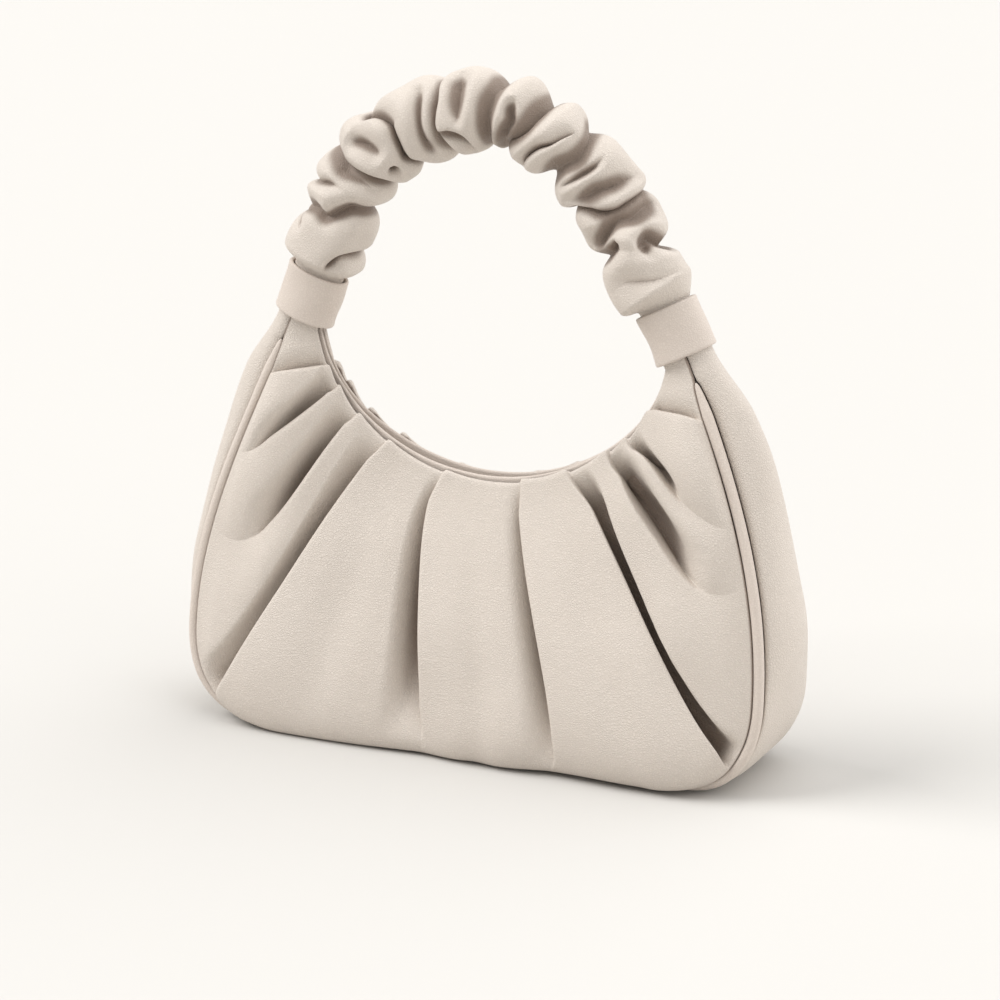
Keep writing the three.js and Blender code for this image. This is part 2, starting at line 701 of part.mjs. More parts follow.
// A grid moved along its own normals
function offsetGrid(grid, distance) {
  const lastLine = grid.length - 1;
  return grid.map((line, l) =>
    line.map((point, r) => {
      const along = grid[Math.min(l + 1, lastLine)][r].clone().sub(grid[Math.max(l - 1, 0)][r]);
      const across = line[Math.min(r + 1, line.length - 1)].clone().sub(line[Math.max(r - 1, 0)]);
      return point.clone().addScaledVector(across.cross(along).normalize(), distance);
    }),
  );
}

function solidOf(wasm, geometry) {
  const bare = new THREE.BufferGeometry().setAttribute("position", geometry.getAttribute("position"));
  bare.setIndex(geometry.getIndex());
  const merged = mergeVertices(bare, 1e-3);
  return new wasm.Manifold(
    new wasm.Mesh({
      numProp: 3,
      vertProperties: new Float32Array(merged.getAttribute("position").array),
      triVerts: new Uint32Array(merged.getIndex().array),
    }),
  );
}

function geometryOf(solid) {
  const mesh = solid.getMesh();
  const geometry = new THREE.BufferGeometry();
  geometry.setAttribute("position", new THREE.BufferAttribute(new Float32Array(mesh.vertProperties), 3));
  geometry.setIndex(new THREE.BufferAttribute(new Uint32Array(mesh.triVerts), 1));
  geometry.computeVertexNormals();
  return geometry;
}

function named(name, geometry, finish) {
  const mesh = new THREE.Mesh(geometry, new THREE.MeshStandardMaterial(finish));
  mesh.name = name;
  return mesh;
}

// The panel, piping and band of one side. The back ones mirror the front ones.
function sideSet(side) {
  const set = new THREE.Group();
  set.add(
    named(`${side}_panel`, makePanel(), LEATHER),
    named(`${side}_piping`, makePiping(), LEATHER),
    named(`${side}_mouth_band`, makeBand(), BAND_LEATHER),
  );
  if (side === "back") set.scale.y = -1;
  return set;
}

function collarAt(side) {
  const { foot, lean } = collarFrame(side);
  const collar = named(side < 0 ? "left_collar" : "right_collar", makeCollar(), LEATHER);
  collar.position.copy(toSpace(foot, 0));
  collar.rotation.y = -side * lean;
  return collar;
}

const wasm = await Module();
wasm.setup();

const bag = new THREE.Group();
bag.add(
  sideSet("front"),
  sideSet("back"),
  named("gusset", makeGusset(), LEATHER),
  collarAt(-1),
  collarAt(1),
  named("handle_sleeve", makeSleeve(wasm), LEATHER),
);

export default bag;
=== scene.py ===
"""Ruched hobo bag in soft ivory leather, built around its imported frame. Metres, +Z up, front to -Y."""

import math
from collections import namedtuple

import bpy
import numpy as np
from bpy.props import FloatProperty, FloatVectorProperty, PointerProperty
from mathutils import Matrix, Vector


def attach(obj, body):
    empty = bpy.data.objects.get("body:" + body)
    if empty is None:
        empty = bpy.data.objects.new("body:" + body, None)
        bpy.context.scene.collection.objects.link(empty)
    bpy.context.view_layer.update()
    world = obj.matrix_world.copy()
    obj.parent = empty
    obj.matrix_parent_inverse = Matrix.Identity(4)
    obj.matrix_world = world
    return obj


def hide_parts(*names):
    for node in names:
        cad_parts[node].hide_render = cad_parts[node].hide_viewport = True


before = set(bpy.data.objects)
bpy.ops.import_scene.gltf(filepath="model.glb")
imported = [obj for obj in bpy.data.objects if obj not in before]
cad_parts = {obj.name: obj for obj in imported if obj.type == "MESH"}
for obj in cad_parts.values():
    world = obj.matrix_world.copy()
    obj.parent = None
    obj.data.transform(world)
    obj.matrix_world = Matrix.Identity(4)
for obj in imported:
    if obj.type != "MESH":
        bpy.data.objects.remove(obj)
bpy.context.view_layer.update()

bl_info = {
    "name": "Ruched Hobo Bag",
    "version": (1, 0, 0),
    "blender": (4, 5, 0),
    "location": "View3D > Sidebar > Ruched Bag",
    "description": "Builds the leather, trim and handle of a ruched hobo bag",
    "category": "Add Mesh",
}

# Walls and gaps
PANEL_WALL = 0.0016
GUSSET_WALL = 0.0016
BAND_WALL = 0.0012
COLLAR_WALL = 0.0017
SLEEVE_WALL = 0.0016
GAP = 0.0004
COLLAR_FIT = 0.00075
SEAM_SLIT = 0.00015
CLOSE_UP = 0.003

# Outline of the body, seen from the front
SEAM_BASE_HEIGHT = 0.003
CORNER_WIDTH = 0.029
CORNER_HEIGHT = 0.036
SIDE_FULLNESS = 0.048
MOUTH_RADIUS = 0.093
MOUTH_TURN = math.radians(38)
MOUTH_FLARE = math.radians(11.5)
MOUTH_EASE = 0.014

# Depth of the body
BELLY_TURN = math.radians(-26)
SIDE_SWELL = 0.013
SIDE_TURN = math.radians(42)
OVERHANG_FADE = 0.014
GUSSET_BULGE = 0.010
GUSSET_FULL_HEIGHT = 0.072
SHOULDER_BULGE = 0.014
SHOULDER_HEIGHT = 0.140
GUSSET_NECK_REACH = 0.040
NECK_MOUTH_DEPTH = 0.0076

# Piping and mouth bands
PIPING_TIP = 0.0006
PIPING_TAPER = 0.014
PIPING_SHORT = 0.011
NECK_BAND_RISE = 0.0005
NECK_BAND_DROP = 0.0023

# Collars, necks and handle
COLLAR_SPAN = 0.1712
COLLAR_HEIGHT = 0.1725
LEANS = {-1: math.radians(20.5), 1: math.radians(26.5)}
NECK_INSERT = 0.008
NECK_BELOW = 0.002
NECK_REACH = 0.072
SLEEVE_INSERT = 0.009
HANDLE_CROWN = 0.264
ARCH_WIDTH = 0.140
SLEEVE_FLARE = 0.007

# Shape of the soft forms, as shares
CORNER_ROUNDNESS = 0.6
SEAM_IN_NECK = 0.25
DEPTH_FALL = 1.08
MOUTH_NARROWING = (0.2, 0.75)
SHOULDER_PLACE = 0.32
SHOULDER_FULLNESS = 0.62
BOW_SKEW = 1.6
HOOK_PEAK = 0.2
DIP_FADE_IN = (0, 0.14)
RELIEF_FADE_OUT = (0.84, 1)
BAND_SLIMMING = (0.6, 0.85)
GUSSET_FLAT = 0.62
BASE_LEAVE = math.radians(75)
SIDE_LEAVE = math.radians(43)

# The folds of a panel. mouth and seam: shares of half the mouth's and half the seam's length. bow and hook:
# sideways bends of the lower and of the upper half, as shares of the fold's length. over: 1 if the piece on
# its right lies on top, -1 if the left one does. rise: how far the top piece stands out. roll: the width over
# which it rounds down to its edge. sink: how far the leather under it falls. floor and bank: widths of the
# flat bottom and of the slope beside it, at the mouth and at the seam. start, peak, reach: share of the depth
# at the mouth, where the fold is deepest, and where it ends.
Fold = namedtuple("Fold", "mouth seam bow hook over rise roll sink floor bank start peak reach")
FOLDS = (
    Fold(-0.782, -0.888, -0.045, 0.008, 1, 0.0032, 0.002, 0.0068, (0, 0), (0.008, 0.01), 0.9, 0.5, 1.5),
    Fold(
        -0.695, -0.768, 0.007, 0.025, 1, 0.0036, 0.004, 0.0095,
        (0.001, 0.001), (0.01, 0.017), 0.6, 0.3, 0.8,
    ),
    Fold(
        -0.566, -0.654, 0.158, 0.008, 1, 0.0042, 0.004, 0.0115,
        (0.001, 0.003), (0.009, 0.018), 0.6, 0.34, 0.78,
    ),
    Fold(
        -0.414, -0.388, 0.008, -0.009, 1, 0.0042, 0.0025, 0.0125,
        (0.002, 0.004), (0.009, 0.016), 0.6, 0.4, 1.7,
    ),
    Fold(
        -0.163, -0.059, 0.045, -0.045, 1, 0.0042, 0.0028, 0.0135,
        (0, 0.014), (0.004, 0.012), 0.35, 0.4, 0.8,
    ),
    Fold(
        0.146, 0.122, 0.113, -0.006, 1, 0.0042, 0.003, 0.0125,
        (0, 0.004), (0.005, 0.013), 0.35, 0.42, 0.9,
    ),
    Fold(
        0.343, 0.409, -0.018, 0.01, -1, 0.0042, 0.0025, 0.015,
        (0.006, 0.007), (0.004, 0.007), 0.7, 0.4, 1.7,
    ),
    Fold(
        0.522, 0.666, -0.12, -0.055, -1, 0.004, 0.003, 0.0145,
        (0.003, 0.007), (0.005, 0.02), 0.6, 0.3, 0.8,
    ),
    Fold(
        0.609, 0.741, 0.007, -0.029, -1, 0.0032, 0.003, 0.012,
        (0.002, 0.003), (0.006, 0.01), 0.3, 0.22, 0.55,
    ),
    Fold(0.753, 0.887, 0.063, 0.013, -1, 0.0034, 0.002, 0.0072, (0, 0), (0.008, 0.01), 0.9, 0.5, 1.5),
)

# Shallow hollows without an edge: mouth and seam as above, depth and width in metres, and start, peak, reach
Hollow = namedtuple("Hollow", "mouth seam depth width start peak reach")
HOLLOWS = (
    Hollow(0., 0.015, 0.0016, 0.007, 0.1, 0.6, 1.3),
    Hollow(-0.3, -0.25, 0.0014, 0.009, 0.2, 0.45, 0.9),
    Hollow(0.26, 0.27, 0.0016, 0.008, 0.2, 0.5, 1.1),
    Hollow(0.9, 0.94, 0.001, 0.003, 0.6, 0.5, 1.),
    Hollow(-0.9, -0.94, 0.001, 0.003, 0.6, 0.5, 1.),
)

# Places on the handle's centre line from the left collar to the right one: share of half the arch's width,
# and share of its rise from the foot of the collars to the crown
ARCH = (
    (-0.965, 0.5),
    (-0.77, 0.755),
    (-0.27, 0.965),
    (0.05, 1),
    (0.45, 0.875),
    (0.775, 0.62),
    (0.95, 0.36),
)

# The creases of the handle. lip: 1 if the lobe towards the right collar laps over, -1 if the other one does,
# 0 if neither. depth and width in metres. path: share of the way along the handle, degrees round it with the
# inside of the arch at 0 and the front at 90, and the share of the depth there.
Crease = namedtuple("Crease", "lip depth width path")
CREASES = (
    Crease(1, 0.006, 0.004, (
        (0.05, 62, 0.2), (0.075, 58, 0.9), (0.095, 45, 1), (0.103, 20, 1), (0.105, -20, 0.9),
        (0.11, -70, 0.6), (0.12, -120, 0),
    )),
    Crease(-1, 0.0035, 0.004, (
        (0.11, 290, 0), (0.11, 260, 0.3), (0.115, 220, 0.8), (0.115, 180, 1), (0.112, 150, 0.8),
        (0.1, 120, 0),
    )),
    Crease(0, 0.0062, 0.0052, (
        (0.135, -190, 0.6), (0.145, -170, 0.6), (0.165, -120, 0.7), (0.18, -60, 0.8), (0.185, 0, 0.9),
        (0.183, 30, 1), (0.18, 54, 1), (0.165, 74, 1), (0.147, 92, 0.9), (0.15, 117, 0.8),
        (0.135, 170, 0.6),
    )),
    Crease(0, 0.0036, 0.0036, (
        (0.208, 75, 0), (0.207, 90, 0.3), (0.2, 115, 0.9), (0.19, 140, 0.8), (0.185, 180, 1),
        (0.19, 220, 0.8), (0.2, 260, 0),
    )),
    Crease(1, 0.0085, 0.005, (
        (0.255, -180, 0.8), (0.27, -120, 0.9), (0.283, -60, 1), (0.28, -8, 1), (0.272, 23, 1),
        (0.262, 57, 1), (0.253, 81, 1), (0.247, 103, 1), (0.249, 124, 1), (0.255, 180, 0.8),
    )),
    Crease(0, 0.0048, 0.0062, (
        (0.272, 128, 0), (0.284, 116, 0.8), (0.294, 102, 1), (0.303, 84, 0.8), (0.309, 66, 0),
    )),
    Crease(-1, 0.0075, 0.0042, (
        (0.33, -110, 0), (0.335, -80, 0.4), (0.345, -30, 0.8), (0.344, 20, 1), (0.335, 44, 1),
        (0.341, 68, 1), (0.344, 89, 1), (0.344, 109, 1), (0.326, 137, 0.9), (0.303, 150, 0.8),
        (0.3, 180, 0.6), (0.305, 215, 0),
    )),
    Crease(1, 0.004, 0.0025, (
        (0.35, -10, 0), (0.352, 10, 0.5), (0.353, 39, 1), (0.353, 53, 1), (0.353, 77, 1),
        (0.356, 98, 0.9), (0.358, 112, 0),
    )),
    Crease(0, 0.0085, 0.0026, (
        (0.3, 47, 0), (0.309, 41, 1), (0.32, 36, 0),
    )),
    Crease(0, 0.003, 0.0032, (
        (0.225, 120, 0), (0.232, 96, 1), (0.236, 70, 1), (0.238, 44, 0.6), (0.235, 20, 0),
    )),
    Crease(0, 0.004, 0.0045, (
        (0.392, 20, 0), (0.393, 45, 0.7), (0.396, 75, 1), (0.402, 105, 1), (0.408, 135, 0.8),
        (0.41, 160, 0),
    )),
    Crease(1, 0.0065, 0.0035, (
        (0.444, -180, 0.9), (0.447, -120, 0.5), (0.45, -60, 0.6), (0.445, 0, 0.8), (0.436, 29, 1),
        (0.429, 56, 1), (0.429, 78, 1), (0.436, 101, 1), (0.443, 124, 1), (0.444, 157, 1),
        (0.444, 180, 0.9),
    )),
    Crease(0, 0.0042, 0.004, (
        (0.485, 10, 0), (0.476, 33, 0.8), (0.46, 51, 1), (0.44, 64, 0.8), (0.435, 74, 0),
    )),
    Crease(0, 0.0042, 0.0052, (
        (0.468, 66, 0), (0.471, 92, 0.8), (0.473, 119, 1), (0.473, 142, 1), (0.475, 170, 0),
    )),
    Crease(0, 0.0065, 0.006, (
        (0.53, -180, 0.8), (0.53, -100, 0.6), (0.525, -40, 0.7), (0.521, 20, 0.9), (0.521, 54, 1),
        (0.521, 81, 1), (0.523, 108, 1), (0.525, 130, 1), (0.527, 162, 0.9), (0.53, 180, 0.8),
    )),
    Crease(0, 0.0065, 0.004, (
        (0.55, -20, 0), (0.55, 0, 0.3), (0.553, 35, 0.7), (0.556, 58, 1), (0.56, 78, 1), (0.565, 96, 1),
        (0.56, 113, 0.9), (0.562, 132, 0),
    )),
    Crease(0, 0.008, 0.0018, (
        (0.556, 72, 0), (0.556, 60, 1), (0.556, 48, 0),
    )),
    Crease(1, 0.008, 0.006, (
        (0.612, -180, 1), (0.6, -100, 0.7), (0.575, -40, 0.7), (0.569, 10, 0.9), (0.569, 36, 1),
        (0.588, 65, 1), (0.601, 94, 1), (0.605, 118, 1), (0.61, 150, 1), (0.612, 180, 1),
    )),
    Crease(1, 0.006, 0.003, (
        (0.605, 5, 0), (0.612, 30, 0.6), (0.621, 54, 1), (0.633, 78, 1), (0.648, 98, 1),
        (0.657, 119, 0.9), (0.663, 140, 0),
    )),
    Crease(0, 0.007, 0.007, (
        (0.67, -180, 0.8), (0.66, -100, 0.7), (0.66, -40, 0.8), (0.668, 20, 1), (0.674, 52, 1),
        (0.679, 81, 1), (0.688, 110, 0.9), (0.681, 147, 0.7), (0.67, 180, 0.8),
    )),
    Crease(0, 0.0036, 0.003, (
        (0.712, 150, 0), (0.716, 120, 0.9), (0.712, 92, 1), (0.706, 66, 0.7), (0.7, 45, 0),
    )),
    Crease(0, 0.0045, 0.006, (
        (0.72, 40, 0), (0.735, 60, 0.6), (0.743, 80, 1), (0.747, 103, 1), (0.754, 127, 1),
        (0.759, 169, 0.5), (0.765, 190, 0),
    )),
    Crease(-1, 0.0075, 0.0038, (
        (0.782, -180, 1), (0.77, -120, 0.8), (0.75, -50, 0.8), (0.738, 10, 1), (0.741, 45, 1),
        (0.76, 70, 1), (0.776, 87, 1), (0.784, 110, 1), (0.784, 139, 1), (0.782, 180, 1),
    )),
    Crease(0, 0.0062, 0.005, (
        (0.828, 22, 0), (0.826, 38, 0.6), (0.821, 56, 1), (0.811, 79, 1), (0.805, 100, 1),
        (0.809, 129, 1), (0.804, 177, 0.9), (0.8, 210, 0),
    )),
    Crease(0, 0.0062, 0.0026, (
        (0.847, 66, 0), (0.843, 74, 1), (0.838, 86, 1), (0.835, 94, 0),
    )),
    Crease(0, 0.0068, 0.005, (
        (0.869, -180, 1), (0.86, -110, 0.8), (0.855, -40, 0.8), (0.852, 10, 0.8), (0.85, 57, 0.9),
        (0.845, 82, 0.6), (0.852, 102, 0.15), (0.858, 113, 0.2), (0.85, 130, 0.9), (0.848, 145, 1),
        (0.862, 168, 1), (0.869, 180, 1),
    )),
    Crease(0, 0.004, 0.005, (
        (0.865, 116, 0), (0.861, 130, 1), (0.862, 146, 0),
    )),
    Crease(0, 0.0016, 0.007, (
        (0.9, 55, 0), (0.9, 82, 0.8), (0.921, 119, 1), (0.931, 153, 0.5), (0.94, 185, 0),
    )),
    Crease(1, 0.0055, 0.005, (
        (0.205, -150, 0), (0.215, -115, 1), (0.22, -80, 1), (0.23, -45, 0),
    )),
    Crease(-1, 0.006, 0.005, (
        (0.375, -175, 0), (0.39, -130, 1), (0.395, -90, 1), (0.385, -45, 0.8), (0.38, -10, 0),
    )),
    Crease(1, 0.005, 0.0045, (
        (0.49, -150, 0), (0.485, -110, 1), (0.49, -70, 1), (0.5, -40, 0),
    )),
    Crease(-1, 0.006, 0.005, (
        (0.635, -160, 0), (0.63, -120, 1), (0.62, -80, 1), (0.615, -45, 0),
    )),
    Crease(1, 0.0055, 0.005, (
        (0.715, -170, 0), (0.72, -130, 1), (0.71, -90, 1), (0.7, -50, 0),
    )),
    Crease(-1, 0.004, 0.006, (
        (0.91, -160, 0), (0.915, -120, 1), (0.905, -80, 1), (0.9, -40, 0),
    )),
)

# Fineness of the meshes
SEAM_STEPS = 420
LINE_STEPS = 240
EDGE_ROUND = 0.0008
# Reach of the painted shade beside a seam, from full to none
SEAM_SHADE = (0.0001, 0.0016)


def lerp(a, b, share):
    return a + (b - a) * share


def smoothstep(value, low, high):
    share = np.clip((value - low) / (high - low), 0, 1)
    return share * share * (3 - 2 * share)


def unit(vectors):
    return vectors / np.maximum(np.linalg.norm(vectors, axis=-1, keepdims=True), 1e-12)


def to_space(points, depth):
    """Points of the front view at a depth."""
    return np.stack([points[..., 0], np.broadcast_to(depth, points.shape[:-1]), points[..., 1]], axis=-1)


def bezier(start, leave, arrive, end, steps=LINE_STEPS):
    """Points along a cubic curve, from its two ends and two handles."""
    t = np.linspace(0, 1, steps)[:, None]
    ease = 1 - t
    return ease**3 * start + 3 * ease**2 * t * leave + 3 * ease * t**2 * arrive + t**3 * end


def straight(start, end, steps=LINE_STEPS):
    return lerp(start, end, np.linspace(0, 1, steps)[:, None])


def joined(stretches):
    """One run of points through several stretches that meet end to end."""
    return np.vstack([stretches[0], *(stretch[1:] for stretch in stretches[1:])])


def unevenness(points, size, amount, seed):
    """A smooth random field over points, with bumps of about a given size."""
    rng = np.random.RandomState(seed)
    waves = 14
    ways = unit(rng.normal(size=(waves, 3))) * rng.uniform(0.6, 1.5, (waves, 1)) * (math.pi / size)
    phases = rng.uniform(0, 2 * math.pi, waves)
    return amount * np.sqrt(2 / waves) * np.cos(points @ ways.T + phases).sum(axis=-1)


class Line:
    """A line in the front view, with a half to each side. Its shares run from -1 over the middle to 1."""

    def __init__(self, left, right):
        points = np.vstack([left[:0:-1], right])
        steps = np.hypot(*np.diff(points, axis=0).T)
        middle = len(left) - 1
        along = np.concatenate([[0], np.cumsum(steps)])
        along -= along[middle]
        self.lengths = {-1: -along[0], 1: along[-1]}
        self.shares = np.where(along < 0, along / self.lengths[-1], along / self.lengths[1])
        self.points = points
        tangents = unit(np.gradient(points, along, axis=0))
        self.outs = np.stack([tangents[:, 1], -tangents[:, 0]], axis=-1)

    def at(self, share):
        return np.stack([np.interp(share, self.shares, self.points[:, i]) for i in (0, 1)], axis=-1)

    def outward(self, share):
        """Unit vector across the line: out of the body for the seam, down into it for the mouth."""
        return unit(np.stack([np.interp(share, self.shares, self.outs[:, i]) for i in (0, 1)], axis=-1))

    def half_length(self, share):
        return np.where(np.asarray(share) < 0, self.lengths[-1], self.lengths[1])

    def to_end(self, share):
        return (1 - np.abs(share)) * self.half_length(share)

    def before(self, side, length):
        """Share of a side's half at a length before its end."""
        return side * (1 - length / self.lengths[side])


class Body:
    """The seam, the mouth and the depths of the body, worked out from the bag's sizes."""

    def __init__(self, sizes):
        self.sizes = sizes
        self.neck_half = np.array([
            sizes.collar_width / 2 - COLLAR_WALL - COLLAR_FIT,
            sizes.collar_depth / 2 - COLLAR_WALL - COLLAR_FIT,
        ])
        self.neck_edge = NECK_INSERT + NECK_BELOW
        self.corner_start = sizes.seam_span / 2 - CORNER_WIDTH
        self.seam_across = self.neck_half[0] * SEAM_IN_NECK
        self.seam_neck_depth = self.neck_depth(self.seam_across)
        mouth_share = NECK_MOUTH_DEPTH / 2 / self.neck_half[1]
        self.mouth_across = -self.neck_half[0] * math.sqrt(1 - mouth_share**2)
        self.seam = Line(self.seam_half_line(-1), self.seam_half_line(1))
        self.mouth = Line(self.mouth_half_line(-1), self.mouth_half_line(1))

    def neck_depth(self, across):
        """Half depth of the neck's oval at a place across it."""
        return self.neck_half[1] * np.sqrt(np.maximum(0, 1 - (across / self.neck_half[0]) ** 2))

    def on_collar(self, side, along, across):
        """A point of a collar's own frame, with across measured away from the other collar."""
        lean = LEANS[side]
        foot = np.array([side * COLLAR_SPAN / 2, COLLAR_HEIGHT])
        up = np.array([-side * math.sin(lean), math.cos(lean)])
        out = np.array([side * math.cos(lean), math.sin(lean)])
        return foot + along * up + across * out

    def seam_half_line(self, side):
        half = side * self.sizes.seam_span / 2
        corner_start = np.array([side * self.corner_start, SEAM_BASE_HEIGHT])
        corner_end = np.array([half, SEAM_BASE_HEIGHT + CORNER_HEIGHT])
        neck_start = self.on_collar(side, -NECK_BELOW, self.seam_across)
        neck_way = unit(self.on_collar(side, 1, 0) - self.on_collar(side, 0, 0))
        return joined([
            straight(np.array([0, SEAM_BASE_HEIGHT]), corner_start),
            bezier(
                corner_start,
                corner_start + [side * CORNER_WIDTH * CORNER_ROUNDNESS, 0],
                corner_end - [0, CORNER_HEIGHT * CORNER_ROUNDNESS],
                corner_end,
            ),
            bezier(
                corner_end, corner_end + [0, SIDE_FULLNESS], neck_start - neck_way * SIDE_FULLNESS, neck_start
            ),
            straight(neck_start, self.on_collar(side, NECK_INSERT, self.seam_across)),
        ])

    def mouth_half_line(self, side):
        turn = np.linspace(0, MOUTH_TURN, LINE_STEPS)
        centre = np.array([0, self.sizes.mouth_height + MOUTH_RADIUS])
        bowl = centre + MOUTH_RADIUS * np.stack([side * np.sin(turn), -np.cos(turn)], axis=-1)
        leave = np.array([side * math.cos(MOUTH_TURN), math.sin(MOUTH_TURN)]) * MOUTH_EASE
        arrive = np.array([side * math.sin(MOUTH_FLARE), math.cos(MOUTH_FLARE)]) * MOUTH_EASE
        neck_start = self.on_collar(side, -NECK_BELOW, self.mouth_across)
        return joined([
            bowl,
            bezier(bowl[-1], bowl[-1] + leave, neck_start - arrive, neck_start),
            straight(neck_start, self.on_collar(side, NECK_INSERT, self.mouth_across)),
        ])

    def side_share(self, share):
        """0 on the base, 1 on the sides."""
        return smoothstep(self.seam.at(share)[..., 1], SEAM_BASE_HEIGHT, SEAM_BASE_HEIGHT + CORNER_HEIGHT)

    def overhang_share(self, share):
        """1 where the panel hangs over the seam along the base, 0 past the corner."""
        along = np.abs(share) * self.seam.half_length(share)
        return 1 - smoothstep(along, self.corner_start - OVERHANG_FADE, self.corner_start + CORNER_HEIGHT)

    def neck_share(self, share):
        """0 up to the upper sides, 1 just below the collars."""
        return 1 - smoothstep(self.seam.to_end(share), self.neck_edge, NECK_REACH)

    def seam_half_depth(self, share):
        foot = CORNER_HEIGHT / 2
        rise = np.clip((self.seam.at(share)[..., 1] - foot) / (COLLAR_HEIGHT - foot), 0, 1)
        return lerp(self.sizes.base_depth / 2, self.seam_neck_depth, rise**DEPTH_FALL)

    def mouth_half_depth(self, share):
        narrower = smoothstep(np.abs(share), *MOUTH_NARROWING)
        return lerp(self.sizes.mouth_depth / 2, NECK_MOUTH_DEPTH / 2, narrower)

    def piping_radius(self, share):
        """Radius of the piping, which narrows to a tip below the collar."""
        full = np.clip((self.seam.to_end(share) - NECK_INSERT - PIPING_SHORT) / PIPING_TAPER, 0, 1)
        return lerp(PIPING_TIP, self.sizes.piping_diameter, np.sqrt(full)) / 2

    def seam_clearance(self, share):
        """Distance from the seam to the edges sewn beside it, which close up above the tip of the piping."""
        past_tip = NECK_INSERT + PIPING_SHORT - self.seam.to_end(share)
        return self.piping_radius(share) * (1 - smoothstep(past_tip, 0, CLOSE_UP)) + SEAM_SLIT

    def seam_turn(self, share):
        """The way in which the panel leaves the seam."""
        outward = to_space(self.seam.outward(share), 0)
        turn = lerp(SIDE_TURN, BELLY_TURN, self.overhang_share(share))[..., None]
        return np.array([0, -1, 0]) * np.cos(turn) - outward * np.sin(turn)

    def neck_roundness(self, fall):
        """How far the neck's oval stands out from the chord between its mouth and its seam."""
        chord = lerp(self.neck_depth(self.mouth_across), self.seam_neck_depth, fall)
        return self.neck_depth(lerp(self.mouth_across, self.seam_across, fall)) - chord

    def panel_point(self, mouth, seam, bow, hook, fall):
        """A point of the front panel without its folds, falling from the mouth at 0 to the seam at 1."""
        start = to_space(self.mouth.at(mouth), -self.mouth_half_depth(mouth))
        turn = self.seam_turn(seam)
        clearance = self.seam_clearance(seam)[..., None]
        seam_point = to_space(self.seam.at(seam), -self.seam_half_depth(seam))
        end = seam_point + turn * clearance
        swell = lerp(SIDE_SWELL, self.sizes.belly_swell, self.overhang_share(seam))[..., None]
        shoulder = lerp(start, end, SHOULDER_PLACE)
        shoulder[..., 1] = lerp(start[..., 1], end[..., 1], SHOULDER_FULLNESS)
        belly = seam_point + turn * (clearance + swell)
        t = np.broadcast_to(fall, mouth.shape)[..., None]
        ease = 1 - t
        point = ease**3 * start + 3 * ease**2 * t * shoulder + 3 * ease * t**2 * belly + t**3 * end
        oval = lerp(start, end, t)
        oval[..., 1] -= self.neck_roundness(t[..., 0])
        run = end - start
        sideways = np.stack([-run[..., 2], np.zeros(run.shape[:-1]), run[..., 0]], axis=-1)
        near_mouth = t[..., 0] / HOOK_PEAK
        bend = bow * np.sin(np.pi * t[..., 0] ** BOW_SKEW) + hook * near_mouth * np.exp(1 - near_mouth)
        bend = bend[..., None]
        return lerp(point, oval, self.neck_share(seam)[..., None]) + sideways * bend

    def gusset_rise(self, share):
        """How far the gusset stands out from the line between its two seams in its middle."""
        height = self.seam.at(share)[..., 1]
        low = lerp(SEAM_BASE_HEIGHT, GUSSET_BULGE, smoothstep(height, SEAM_BASE_HEIGHT, GUSSET_FULL_HEIGHT))
        high = lerp(low, SHOULDER_BULGE, smoothstep(height, GUSSET_FULL_HEIGHT, SHOULDER_HEIGHT))
        neck = 1 - smoothstep(self.seam.to_end(share), self.neck_edge, GUSSET_NECK_REACH)
        return lerp(high, self.neck_half[0] - self.seam_across, neck)

    def gusset_point(self, share, across):
        """A point of the gusset's outer face, across from the front seam at 0 to the back one at 1."""
        upright = self.side_share(share)
        leave = lerp(BASE_LEAVE, SIDE_LEAVE, upright)
        clearance = self.seam_clearance(share)
        flat = lerp(GUSSET_FLAT, 0, upright)
        place = 2 * across - 1
        past_flat = np.maximum(0, np.abs(place) - flat) / (1 - flat)
        profile = np.sqrt(np.maximum(0, 1 - past_flat**2))
        out = lerp(clearance * np.cos(leave), self.gusset_rise(share), profile)
        half_depth = self.seam_half_depth(share) - clearance * np.sin(leave)
        flat_point = self.seam.at(share) + self.seam.outward(share) * out[..., None]
        return to_space(flat_point, place * half_depth)

    def handle_line(self):
        """Points of the handle's centre line, from inside the left collar into the right one."""
        length = self.sizes.collar_length
        lengths = (length - SLEEVE_INSERT, length, length + SLEEVE_FLARE / 2)
        arch = [
            np.array([across * ARCH_WIDTH / 2, lerp(COLLAR_HEIGHT, HANDLE_CROWN, up)]) for across, up in ARCH
        ]
        left = [self.on_collar(-1, along, 0) for along in lengths]
        right = [self.on_collar(1, along, 0) for along in reversed(lengths)]
        return smooth_curve(np.array([*left, *arch, *right]))


def smooth_curve(points, steps=40):
    """A Catmull-Rom curve through points, with knots spaced by the root of their distance."""
    ends = np.vstack([2 * points[0] - points[1], points, 2 * points[-1] - points[-2]])
    t = np.linspace(0, 1, steps, endpoint=False)[:, None]
    pieces = []
    for p0, p1, p2, p3 in zip(ends, ends[1:], ends[2:], ends[3:]):
        d0, d1, d2 = (max(np.linalg.norm(b - a), 1e-9) ** 0.5 for a, b in ((p0, p1), (p1, p2), (p2, p3)))
        leave = ((p1 - p0) / d0 - (p2 - p0) / (d0 + d1) + (p2 - p1) / d1) * d1
        arrive = ((p2 - p1) / d1 - (p3 - p1) / (d1 + d2) + (p3 - p2) / d2) * d1
        square = -3 * p1 + 3 * p2 - 2 * leave - arrive
        cube = 2 * p1 - 2 * p2 + leave + arrive
        pieces.append(p1 + leave * t + square * t**2 + cube * t**3)
    return np.vstack([*pieces, points[-1]])


# Meshes

